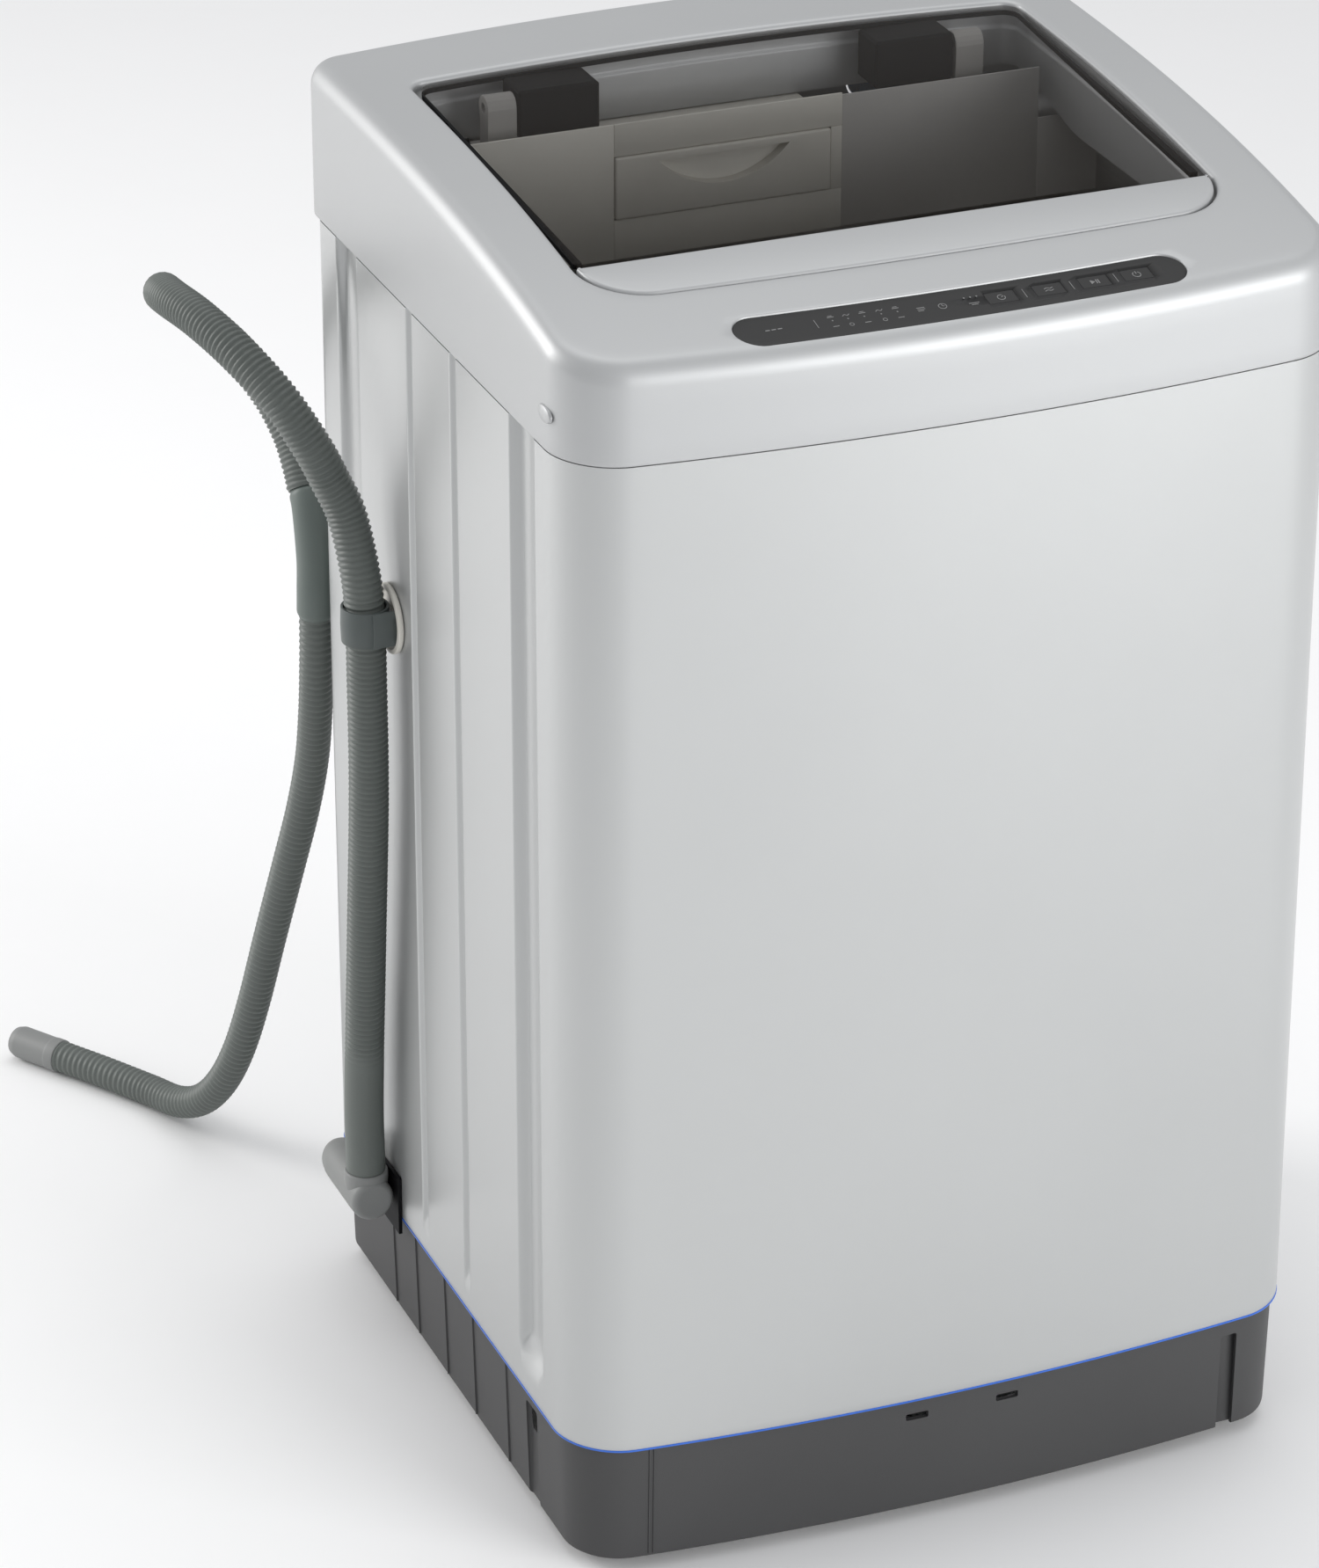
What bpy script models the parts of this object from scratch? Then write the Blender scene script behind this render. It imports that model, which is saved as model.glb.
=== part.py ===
"""Top load washing machine: cabinet, base, deck with see-through lid, suspended tub and drive, drain hose.

Metres, +Z up, the front faces -Y. Everything is modelled around the cabinet's own middle, then moved
by SHIFT so that the machine without its hoses stands centred on the origin.
"""
import math

import bmesh
import bpy
from mathutils import Matrix, Vector

# ---------------------------------------------------------------- driving dimensions
HALF_W = 0.260            # half the width
FRONT_Y = -0.2385         # front face at the cabinet's corners
BOW = 0.0177              # how far the middle of the front stands forward of its corners
DECK_BACK = 0.2385        # back of the deck
CAB_BACK = 0.2275         # back of the cabinet, in front of the rear cover
FRONT_R = 0.040           # plan radius of the front corners
BACK_R = 0.022
BASE_TOP = 0.0968
CAB_BOTTOM = 0.0973
CAB_TOP = 0.7867
SEAM = 0.7875             # lower edge of the deck
SHEET = 0.0012            # cabinet sheet
DECK_Z = 0.890            # height of the deck's side edge at the back
DECK_DROP = 0.040         # fall of that edge towards the front
DECK_T = 0.003
LID_HALF_W = 0.2145       # lid opening
LID_FRONT = -0.170
LID_BACK = 0.161
LID_FRONT_R = 0.040
LID_BACK_R = 0.012
LID_BOW = 0.008
HINGE_Y, HINGE_Z = 0.130, 0.880
STRIP_Y = -0.131          # joint between the lid's window and its front strip
TUB_Y = -0.008            # tub axis
MOTOR_X, MOTOR_Y = 0.115, -0.113
ROD_X, ROD_Y = 0.205, 0.183
HOSE_R, EXT_R, CUFF_R = 0.0135, 0.012, 0.0134
HOSE_X = -0.279           # hose centre beside the left panel
GAP = 0.0003
SHIFT = Vector((0.0181, 0.00885, 0.0))

COLOURS = {
    "silver_plastic": ((0.56, 0.57, 0.58), 0.38, 0.25),
    "painted_steel": ((0.60, 0.61, 0.61), 0.35, 0.30),
    "dark_plastic": ((0.060, 0.060, 0.062), 0.55, 0.0),
    "black_plastic": ((0.012, 0.012, 0.013), 0.45, 0.0),
    "panel": ((0.030, 0.031, 0.032), 0.25, 0.0),
    "key": ((0.040, 0.041, 0.042), 0.30, 0.0),
    "smoke": ((0.085, 0.078, 0.068), 0.10, 0.0),
    "grey_plastic": ((0.30, 0.29, 0.28), 0.50, 0.0),
    "white_plastic": ((0.62, 0.62, 0.61), 0.45, 0.0),
    "tub_plastic": ((0.45, 0.47, 0.48), 0.55, 0.0),
    "stainless": ((0.55, 0.56, 0.57), 0.28, 1.0),
    "zinc_steel": ((0.42, 0.42, 0.42), 0.40, 1.0),
    "cast_aluminium": ((0.50, 0.50, 0.51), 0.50, 1.0),
    "hose": ((0.105, 0.130, 0.120), 0.50, 0.0),
    "hose_cuff": ((0.150, 0.185, 0.165), 0.50, 0.0),
    "hose_end": ((0.270, 0.270, 0.270), 0.55, 0.0),
    "rubber": ((0.020, 0.020, 0.020), 0.80, 0.0),
    "motor": ((0.10, 0.11, 0.12), 0.50, 0.4),
    "blue_plastic": ((0.05, 0.16, 0.35), 0.45, 0.0),
}


# ---------------------------------------------------------------- helpers
def material(slot):
    mat = bpy.data.materials.get(slot)
    if mat:
        return mat
    colour, rough, metal = COLOURS[slot]
    mat = bpy.data.materials.new(slot)
    mat.use_nodes = True
    shader = mat.node_tree.nodes["Principled BSDF"]
    shader.inputs["Base Color"].default_value = (*colour, 1.0)
    shader.inputs["Roughness"].default_value = rough
    shader.inputs["Metallic"].default_value = metal
    return mat


def outward(bm):
    bmesh.ops.recalc_face_normals(bm, faces=bm.faces[:])
    if bm.calc_volume(signed=True) < 0:
        bmesh.ops.reverse_faces(bm, faces=bm.faces[:])


def add(name, bm, slot, smooth=35):
    """Make the object from a bmesh; with no slot it is a cutter or a piece to fuse."""
    outward(bm)
    mesh = bpy.data.meshes.new(name)
    bm.to_mesh(mesh)
    bm.free()
    ob = bpy.data.objects.new(name, mesh)
    bpy.context.collection.objects.link(ob)
    if slot:
        mesh.materials.append(material(slot))
        mesh.shade_smooth()
        mesh.set_sharp_from_angle(angle=math.radians(smooth))
    else:
        ob.hide_render = True
        ob.display_type = "WIRE"
    return ob


def pivot(ob, point):
    """Put the object's origin at a point without moving its mesh."""
    ob.data.transform(Matrix.Translation(-Vector(point)))
    ob.location = point


def boolean(ob, other, operation):
    mod = ob.modifiers.new(operation.lower(), "BOOLEAN")
    mod.operation = operation
    mod.object = other
    return ob


def cut(ob, other):
    return boolean(ob, other, "DIFFERENCE")


def fuse(ob, other):
    return boolean(ob, other, "UNION")


def bridge(bm, loops, wrap=False, caps=False):
    """Skin a list of equally long closed loops of points."""
    rows = [[bm.verts.new(p) for p in loop] for loop in loops]
    pairs = list(zip(rows, rows[1:]))
    if wrap:
        pairs.append((rows[-1], rows[0]))
    for low, high in pairs:
        n = len(low)
        for i in range(n):
            bm.faces.new((low[i], low[(i + 1) % n], high[(i + 1) % n], high[i]))
    if caps:
        bm.faces.new(rows[0][::-1])
        bm.faces.new(rows[-1])


def add_box(bm, lo, hi, turn=None):
    corners = [Vector((x, y, z)) for z in (lo[2], hi[2]) for x, y in
               ((lo[0], lo[1]), (hi[0], lo[1]), (hi[0], hi[1]), (lo[0], hi[1]))]
    if turn:
        corners = [turn @ c for c in corners]
    bridge(bm, [corners[:4], corners[4:]], caps=True)


def boxes(name, pairs, slot, bevel=0.0):
    bm = bmesh.new()
    for lo, hi in pairs:
        add_box(bm, lo, hi)
    if bevel:
        bmesh.ops.bevel(bm, geom=bm.edges[:], offset=bevel, segments=1, affect="EDGES")
    return add(name, bm, slot)


def add_cylinder(bm, start, end, radius, sides, radius_end=None):
    start, end = Vector(start), Vector(end)
    turn = (end - start).to_track_quat("Z", "Y").to_matrix()
    rows = []
    for centre, r in ((start, radius), (end, radius if radius_end is None else radius_end)):
        rows.append([centre + turn @ Vector((r * math.cos(a), r * math.sin(a), 0))
                     for a in (2 * math.pi * (i + 0.5) / sides for i in range(sides))])
    bridge(bm, rows, caps=True)


def cylinders(name, specs, slot, sides=16):
    bm = bmesh.new()
    for start, end, radius in specs:
        add_cylinder(bm, start, end, radius, sides)
    return add(name, bm, slot)


def prism(name, outline, axis, lo, hi, slot):
    """Extrude a flat outline along X, Y or Z. The outline holds the other two coordinates in order."""
    def point(a, b, c):
        return {"X": (c, a, b), "Y": (a, c, b), "Z": (a, b, c)}[axis]
    bm = bmesh.new()
    bridge(bm, [[point(a, b, c) for a, b in outline] for c in (lo, hi)], caps=True)
    return add(name, bm, slot)


def lathe(name, profile, slot, sides=32, centre=(0, 0, 0), axis="Z", smooth=35):
    """Turn a profile of (radius, height). Ends on the axis close to a pole, otherwise it is a ring."""
    bm = bmesh.new()
    solid = profile[0][0] == 0 and profile[-1][0] == 0
    body = profile[1:-1] if solid else profile
    rows = [[bm.verts.new((r * math.cos(a), r * math.sin(a), z))
             for a in (2 * math.pi * i / sides for i in range(sides))] for r, z in body]
    pairs = list(zip(rows, rows[1:]))
    if not solid:
        pairs.append((rows[-1], rows[0]))
    for low, high in pairs:
        for i in range(sides):
            bm.faces.new((low[i], low[(i + 1) % sides], high[(i + 1) % sides], high[i]))
    if solid:
        for row, (_, z) in ((rows[0], profile[0]), (rows[-1], profile[-1])):
            pole = bm.verts.new((0, 0, z))
            for i in range(sides):
                bm.faces.new((pole, row[i], row[(i + 1) % sides]))
    ob = add(name, bm, slot, smooth)
    ob.location = centre
    if axis == "X":
        ob.rotation_euler = (0, math.radians(90), 0)
    if axis == "Y":
        ob.rotation_euler = (math.radians(-90), 0, 0)
    return ob


def arc(cx, cy, radius, start, end, count):
    return [(cx + radius * math.cos(a), cy + radius * math.sin(a)) for a in
            (math.radians(start + (end - start) * i / count) for i in range(count + 1))]


def smooth_path(route, spacing):
    """Points spaced along the Catmull-Rom curve through the route's points."""
    pts = [Vector(p) for p in route]
    pts = [2 * pts[0] - pts[1]] + pts + [2 * pts[-1] - pts[-2]]
    fine = []
    for p0, p1, p2, p3 in zip(pts, pts[1:], pts[2:], pts[3:]):
        for k in range(24):
            t = k / 24
            fine.append(0.5 * (2 * p1 + (p2 - p0) * t + (2 * p0 - 5 * p1 + 4 * p2 - p3) * t * t
                               + (3 * p1 - p0 - 3 * p2 + p3) * t ** 3))
    fine.append(pts[-2])
    total = sum((b - a).length for a, b in zip(fine, fine[1:]))
    count = max(2, round(total / spacing))
    out, run, k = [fine[0]], 0.0, 1
    for a, b in zip(fine, fine[1:]):
        step = (b - a).length
        while k < count and run + step >= total * k / count:
            out.append(a.lerp(b, (total * k / count - run) / step))
            k += 1
        run += step
    return out + [fine[-1]]


def tube(name, points, radius, slot, resolution=3, cyclic=False):
    curve = bpy.data.curves.new(name, "CURVE")
    curve.dimensions = "3D"
    curve.bevel_depth = radius
    curve.bevel_resolution = resolution
    curve.use_fill_caps = True
    curve.render_resolution_u = 0
    spline = curve.splines.new("POLY")
    spline.points.add(len(points) - 1)
    for point, p in zip(spline.points, points):
        point.co = (*p, 1.0)
    spline.use_cyclic_u = cyclic
    curve.materials.append(material(slot))
    ob = bpy.data.objects.new(name, curve)
    bpy.context.collection.objects.link(ob)
    return ob


# ---------------------------------------------------------------- shared outlines and surfaces
def deck_z(x, y):
    """Height of the deck's crowned top."""
    run = max(0.0, DECK_BACK - y) / 0.4835
    crown = 0.009 - 0.007 * min(run, 1.0)
    return DECK_Z - DECK_DROP * run ** 2.7 + crown * (1 - (x / HALF_W) ** 2)


def rounded(half_w, front, back, front_r, back_r, sides, bow, bow_w, n_front=7, n_back=3, n_arc=4):
    """Closed plan outline, anticlockwise from the front left corner, with a bowed front."""
    pts = arc(-half_w + front_r, front + front_r, front_r, 180, 270, n_arc)
    left, right = -half_w + front_r, half_w - front_r
    pts += [(left + (right - left) * i / (n_front + 1), front) for i in range(1, n_front + 1)]
    pts += arc(half_w - front_r, front + front_r, front_r, 270, 360, n_arc)
    pts += [(half_w - d, y) for y, d in sides]
    pts += arc(half_w - back_r, back - back_r, back_r, 0, 90, n_arc)
    left, right = -half_w + back_r, half_w - back_r
    pts += [(right + (left - right) * i / (n_back + 1), back) for i in range(1, n_back + 1)]
    pts += arc(-half_w + back_r, back - back_r, back_r, 90, 180, n_arc)
    pts += [(-half_w + d, y) for y, d in reversed(sides)]
    edge = front + front_r
    out = []
    for x, y in pts:
        weight = min(1.0, max(0.0, y / edge)) if edge < 0 else 0.0
        out.append((x, y - bow * (1 - (x / bow_w) ** 2) * weight))
    return out


def body_outline(inset, back, sides):
    return rounded(HALF_W - inset, FRONT_Y + inset, back - inset, FRONT_R - inset, BACK_R - inset,
                   sides, BOW, HALF_W)


def lid_outline(grow):
    sides = [(-0.085 + 0.075 * i, 0.0) for i in range(4)]
    return rounded(LID_HALF_W + grow, LID_FRONT - grow, LID_BACK + grow, LID_FRONT_R + grow,
                   LID_BACK_R + grow, sides, LID_BOW, LID_HALF_W)


def deck_outline(inset):
    sides = [(-0.125 + 0.10 * i, 0.0) for i in range(4)]
    return body_outline(inset, DECK_BACK, sides)


def on_deck(outline, drop):
    return [(x, y, deck_z(x, y) - drop) for x, y in outline]


def at(outline, z):
    return [(x, y, z) for x, y in outline]


def slab(name, columns, rows, drop, thickness, slot, draft=0.0):
    """A sheet that follows the deck's surface; columns hold x and its two ends in y."""
    bm = bmesh.new()
    top, low = [], []
    for x, y0, y1 in columns:
        ys = [y0 + (y1 - y0) * i / rows for i in range(rows + 1)]
        top.append([bm.verts.new((x, y, deck_z(x, y) - drop)) for y in ys])
        ys[0] += draft
        low.append([bm.verts.new((x, y, deck_z(x, y) - drop - thickness)) for y in ys])
    last = len(columns) - 1
    for i in range(last):
        for j in range(rows):
            bm.faces.new((top[i][j], top[i + 1][j], top[i + 1][j + 1], top[i][j + 1]))
            bm.faces.new((low[i][j], low[i][j + 1], low[i + 1][j + 1], low[i + 1][j]))
        for j in (0, rows):
            bm.faces.new((top[i][j], low[i][j], low[i + 1][j], top[i + 1][j]))
    for i in (0, last):
        for j in range(rows):
            bm.faces.new((top[i][j], top[i][j + 1], low[i][j + 1], low[i][j]))
    return add(name, bm, slot)


# ---------------------------------------------------------------- cabinet and base
def channels(depth):
    """Side points of the cabinet: two wide and two narrow embossed channels."""
    pts = []
    for low, high, share, ramp in ((-0.182, -0.138, 1.0, 0.006), (-0.046, -0.034, 0.5, 0.003),
                                   (0.034, 0.046, 0.5, 0.003), (0.138, 0.178, 1.0, 0.006)):
        pts += [(low, 0.0), (low + ramp, depth * share), (high - ramp, depth * share), (high, 0.0)]
    return pts


def cabinet():
    loops = []
    for inset, levels in ((0.0, (0, 1, 2, 3)), (SHEET, (3, 2, 1, 0))):
        for level in levels:
            z = (CAB_BOTTOM, 0.112, 0.124, CAB_TOP)[level]
            depth = (0.0, 0.0, 0.005, 0.005)[level]
            loops.append(at(body_outline(inset, CAB_BACK, channels(depth)), z))
    bm = bmesh.new()
    bridge(bm, loops, wrap=True)
    ob = add("cabinet", bm, "painted_steel")
    plates = bmesh.new()
    for sx in (-1, 1):
        for y0, y1 in ((-0.2380, -0.165), (0.150, 0.2268)):
            add_box(plates, (min(sx * 0.170, sx * 0.2590), y0, 0.7545), (max(sx * 0.170, sx * 0.2590), y1, 0.7570))
    corner = add("corner_plates", plates, None)
    trim = bmesh.new()
    bridge(trim, [at(body_outline(SHEET * 0.5, CAB_BACK, channels(0.005)), z) for z in (0.74, 0.77)], caps=True)
    boolean(corner, add("corner_trim", trim, None), "INTERSECT")
    fuse(ob, corner)
    holes = bmesh.new()
    for sx in (-1, 1):
        for sy in (-1, 1):
            add_cylinder(holes, (sx * ROD_X, TUB_Y + sy * ROD_Y, 0.74), (sx * ROD_X, TUB_Y + sy * ROD_Y, 0.77),
                         0.0048, 10)
    add_cylinder(holes, (-0.275, 0.125, 0.113), (-0.245, 0.125, 0.113), 0.0118, 16)
    add_box(holes, (-0.190, 0.20, 0.130), (0.190, 0.25, 0.730))
    return cut(ob, add("cabinet_holes", holes, None))


def rear_cover():
    """Shallow tray over the cabinet's back, open towards the cabinet."""
    def ring(grow, y):
        return [(x, y, z) for x, z in arc(-0.226 - 0, 0.118, 0.012 + grow, 180, 270, 3)
                + arc(0.226, 0.118, 0.012 + grow, 270, 360, 3)
                + arc(0.226, 0.7735, 0.012 + grow, 0, 90, 3)
                + arc(-0.226, 0.7735, 0.012 + grow, 90, 180, 3)]
    bm = bmesh.new()
    bridge(bm, [ring(-0.002, 0.2380), ring(0.0, 0.2365), ring(0.0, CAB_BACK + GAP), ring(-0.001, CAB_BACK + GAP),
                ring(-0.001, 0.2360), ring(-0.003, 0.2370)], caps=True)
    ob = add("rear_cover", bm, "painted_steel")
    vents = [((x - 0.030, 0.22, z), (x + 0.030, 0.25, z + 0.004))
             for x in (-0.12, 0.12) for z in (0.60, 0.615, 0.63)]
    return cut(ob, boxes("rear_vents", vents, None))


def base():
    sides = channels(0.0)
    bm = bmesh.new()
    bridge(bm, [at(body_outline(d, CAB_BACK, sides), z) for d, z in
                ((0.0065, 0.0110), (0.0040, 0.0900), (0.0040, BASE_TOP), (0.0070, BASE_TOP), (0.0095, 0.0110))],
           wrap=True)
    ob = add("base", bm, "dark_plastic")
    corner = bmesh.new()
    for x0, x1 in ((-0.247, -0.180), (0.180, 0.247)):
        for y0, y1 in ((-0.223, -0.155), (0.145, 0.2195)):
            add_box(corner, (x0, y0, 0.0220), (x1, y1, 0.0290))
    plates = add("base_plates", corner, None)
    trim = bmesh.new()
    bridge(trim, [at(body_outline(0.0075, CAB_BACK, sides), z) for z in (0.0150, 0.0400)], caps=True)
    boolean(plates, add("base_trim", trim, None), "INTERSECT")
    fuse(ob, plates)
    holes = bmesh.new()
    for sx in (-1, 1):
        for y in FEET_Y:
            add_cylinder(holes, (sx * FEET_X, y, 0.01), (sx * FEET_X, y, 0.04), 0.0055, 12)
    add_box(holes, (-0.265, -0.156, 0.030), (-0.245, -0.136, 0.080))
    for x0, x1 in ((-0.033, -0.017), (0.032, 0.048)):
        add_box(holes, (x0, -0.27, 0.078), (x1, -0.24, 0.087))
    add_box(holes, (0.2025, -0.27, 0.030), (0.2150, -0.236, 0.088))
    return cut(ob, add("base_holes", holes, None))


FEET_X, FEET_Y = 0.213, (-0.188, 0.183)


def feet():
    """Three fixed feet and, front right, one that screws up and down."""
    for name, x, y in (("foot_front_left", -FEET_X, FEET_Y[0]), ("foot_rear_left", -FEET_X, FEET_Y[1]),
                       ("foot_rear_right", FEET_X, FEET_Y[1]), ("adjustable_foot", FEET_X, FEET_Y[0])):
        stem = 0.052 if name == "adjustable_foot" else 0.034
        lathe(name, [(0, 0), (0.020, 0), (0.022, 0.003), (0.021, 0.010), (0.013, 0.014), (0.0050, 0.0145),
                     (0.0050, stem), (0, stem)], "rubber", 16, (x, y, 0))


# ---------------------------------------------------------------- deck
def pill_columns(grow):
    r, half = 0.0151 + grow, 0.149 + grow
    stations = [(-half + r * (1 - math.cos(math.radians(a))), r * math.sin(math.radians(a)))
                for a in (14, 32, 52, 72)]
    columns = [(x, h) for x, h in stations]
    columns += [(-half + r + 2 * (half - r) * i / 8, r) for i in range(9)]
    columns += [(-x, h) for x, h in reversed(stations)]
    return [(x, pill_y(x) - h, pill_y(x) + h) for x, h in columns]


def pill_y(x):
    return -0.2265 - 0.0045 * (1 - (x / 0.149) ** 2)


def open_bottom(y):
    t = min(1.0, max(0.0, (y - 0.05) / 0.09))
    return 0.832 + 0.0175 * t * t * (3 - 2 * t)


def top_frame():
    def mix(a, b, t=0.5):
        return [(p[0] + (q[0] - p[0]) * t, p[1] + (q[1] - p[1]) * t) for p, q in zip(a, b)]
    def skirt(outline):
        return [(x, y, open_bottom(y)) for x, y in outline]
    t = DECK_T
    outer = [at(deck_outline(0), SEAM), on_deck(deck_outline(0), 0.012), on_deck(deck_outline(0.0025), 0.0035),
             on_deck(deck_outline(0.010), 0.0), on_deck(mix(deck_outline(0.010), lid_outline(0.003)), 0.0),
             on_deck(lid_outline(0.003), 0.0), on_deck(lid_outline(0), 0.003), on_deck(lid_outline(0), 0.016),
             on_deck(lid_outline(-0.0015), 0.018), skirt(lid_outline(-0.0015))]
    inner = [skirt(lid_outline(0.0015)), on_deck(lid_outline(0.0015), 0.0200), on_deck(lid_outline(0.0035), 0.0185),
             on_deck(lid_outline(0.003), t + 0.002), on_deck(lid_outline(0.006), t),
             on_deck(mix(deck_outline(0.012), lid_outline(0.006)), t), on_deck(deck_outline(0.012), t),
             on_deck(deck_outline(0.0055), 0.0055), on_deck(deck_outline(t), 0.0125), at(deck_outline(t), SEAM)]
    bm = bmesh.new()
    bridge(bm, outer + inner, wrap=True)
    ob = add("top_frame", bm, "silver_plastic", 30)
    holes = slab("panel_hole", pill_columns(GAP), 1, -0.02, 0.04, None)
    cut(ob, holes)
    rear = [((0.140, 0.20, 0.822), (0.140, 0.25, 0.822), 0.0142), ((-0.205, 0.20, 0.815), (-0.205, 0.25, 0.815), 0.0085)]
    return cut(ob, cylinders("rear_holes", rear, None, 20))


KEY_X = {"programme_key": 0.0240, "water_key": 0.0560, "start_key": 0.0870, "power_key": 0.1160}
KEY_W, KEY_H = 0.0100, 0.0060


def key_frame(x):
    """Where a key sits on the strip: its middle and the strip's slope there."""
    y = pill_y(x)
    slope = math.atan2(deck_z(x, y + 0.01) - deck_z(x, y - 0.01), 0.02)
    return y, slope


def control_panel():
    ob = slab("control_panel", pill_columns(0), 2, 0.0008, 0.0035, "panel")
    holes = bmesh.new()
    for x in KEY_X.values():
        y, slope = key_frame(x)
        turn = Matrix.Translation((x, y, deck_z(x, y))) @ Matrix.Rotation(slope, 4, "X")
        add_box(holes, (-KEY_W - GAP, -KEY_H - GAP, -0.03), (KEY_W + GAP, KEY_H + GAP, 0.03), turn)
    return cut(ob, add("key_holes", holes, None))


def keys():
    """Short travel keys, flush with the strip; each one's axis is square to the strip."""
    for name, x in KEY_X.items():
        y, slope = key_frame(x)
        bm = bmesh.new()
        rows = []
        for w, h, z in ((0.0025, 0.0025, -0.0150), (0.0025, 0.0025, -0.0045), (KEY_W, KEY_H, -0.0045),
                        (KEY_W, KEY_H, -0.0013), (KEY_W - 0.0005, KEY_H - 0.0005, -0.0009)):
            rows.append([(-w, -h, z), (w, -h, z), (w, h, z), (-w, h, z)])
        bridge(bm, rows, caps=True)
        ob = add(name, bm, "key")
        ob.location = (x, y, deck_z(x, y))
        ob.rotation_euler = (slope, 0, 0)


def lid():
    """Smoked window, silver front strip and two hinge blocks; it turns about the hinge line."""
    half = 0.2105
    def joint(x):
        return STRIP_Y - 0.004 * (1 - (x / half) ** 2)
    xs = [-half, -half + 0.003, -half + 0.010] + [-0.17 + 0.34 * i / 9 for i in range(10)] \
        + [half - 0.010, half - 0.003, half]
    window = []
    for x in xs:
        short = {0: 0.010, 1: 0.0029, 2: 0.0}[min(2, min(xs.index(x), len(xs) - 1 - xs.index(x)))]
        window.append((x, joint(x) + GAP, 0.154 - short))
    moving = [slab("lid_window", window, 6, 0.0, 0.003, "smoke")]
    edge, radius = LID_HALF_W - 0.0022, 0.038
    xc, yc = edge - radius, LID_FRONT + 0.0012 + radius
    strip = []
    turns = [math.radians(a) for a in (2, 18, 36, 54, 72)]
    right = [(xc + radius * math.cos(a), yc - radius * math.sin(a)) for a in turns]
    middle = [(xc - 2 * xc * i / 8, yc - radius) for i in range(9)]
    for x, y in right + middle + [(-x, y) for x, y in reversed(right)]:
        strip.append((x, y - LID_BOW * (1 - (x / LID_HALF_W) ** 2), joint(x)))
    strip.sort()
    moving.append(slab("lid_front_strip", strip, 3, 0.0, 0.009, "silver_plastic", draft=0.0018))
    for side, s in (("left", -1), ("right", 1)):
        top = min(deck_z(0.153, y) for y in (0.122, 0.1525)) - 0.0034
        x0, x1 = sorted((s * 0.097, s * 0.153))
        block = boxes("lid_hinge_" + side, [((x0, 0.122, 0.858), (x1, 0.1525, top))], "black_plastic", 0.0015)
        pin = cylinders("hinge_pin_" + side, [((s * 0.148, HINGE_Y, HINGE_Z), (s * 0.1715, HINGE_Y, HINGE_Z), 0.003)],
                        None, 12)
        fuse(block, pin)
        moving.append(block)
        head = arc(HINGE_Y, HINGE_Z, 0.0085, 0, 180, 8)
        outline = [(0.1215, 0.8455), (0.1563, 0.8455), (0.1563, 0.8485), (0.1368, 0.8485), (0.1368, 0.872)] + head
        x0, x1 = sorted((s * 0.1545, s * 0.1745))
        post = prism("hinge_post_" + side, outline, "X", x0, x1, "grey_plastic")
        cut(post, cylinders("hinge_hole_" + side, [((x0 - 0.01, HINGE_Y, HINGE_Z), (x1 + 0.01, HINGE_Y, HINGE_Z),
                                                    0.0034)], None, 12))
    for ob in moving:
        pivot(ob, (0, HINGE_Y, HINGE_Z))


def dispenser():
    """Detergent drawer with a half-moon grip, in a housing under the back of the deck."""
    housing = boxes("detergent_housing", [((-0.0985, 0.1005, 0.7995), (0.0585, 0.2225, 0.8485))], "white_plastic")
    cut(housing, boxes("housing_cavity", [((-0.0965, 0.09, 0.8015), (0.0565, 0.2205, 0.8465))], None))
    drawer = boxes("detergent_drawer", [((-0.0955, 0.0985, 0.8028), (0.0555, 0.2150, 0.8452))], "white_plastic")
    hollow = [((-0.0935, 0.1140, 0.8050), (0.0050, 0.2130, 0.86)), ((0.0070, 0.1140, 0.8050), (0.0535, 0.2130, 0.86))]
    cut(drawer, boxes("drawer_hollows", hollow, None))
    chord, sag = 0.046, 0.021
    r = (chord ** 2 + sag ** 2) / (2 * sag)
    spread = math.degrees(math.asin(chord / r))
    moon = arc(-0.020, 0.840 + r - sag, r, 270 - spread, 270 + spread, 10)
    cut(drawer, prism("drawer_grip", moon, "Y", 0.09, 0.1085, None))
    pivot(drawer, (-0.020, 0.157, 0.824))


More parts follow.
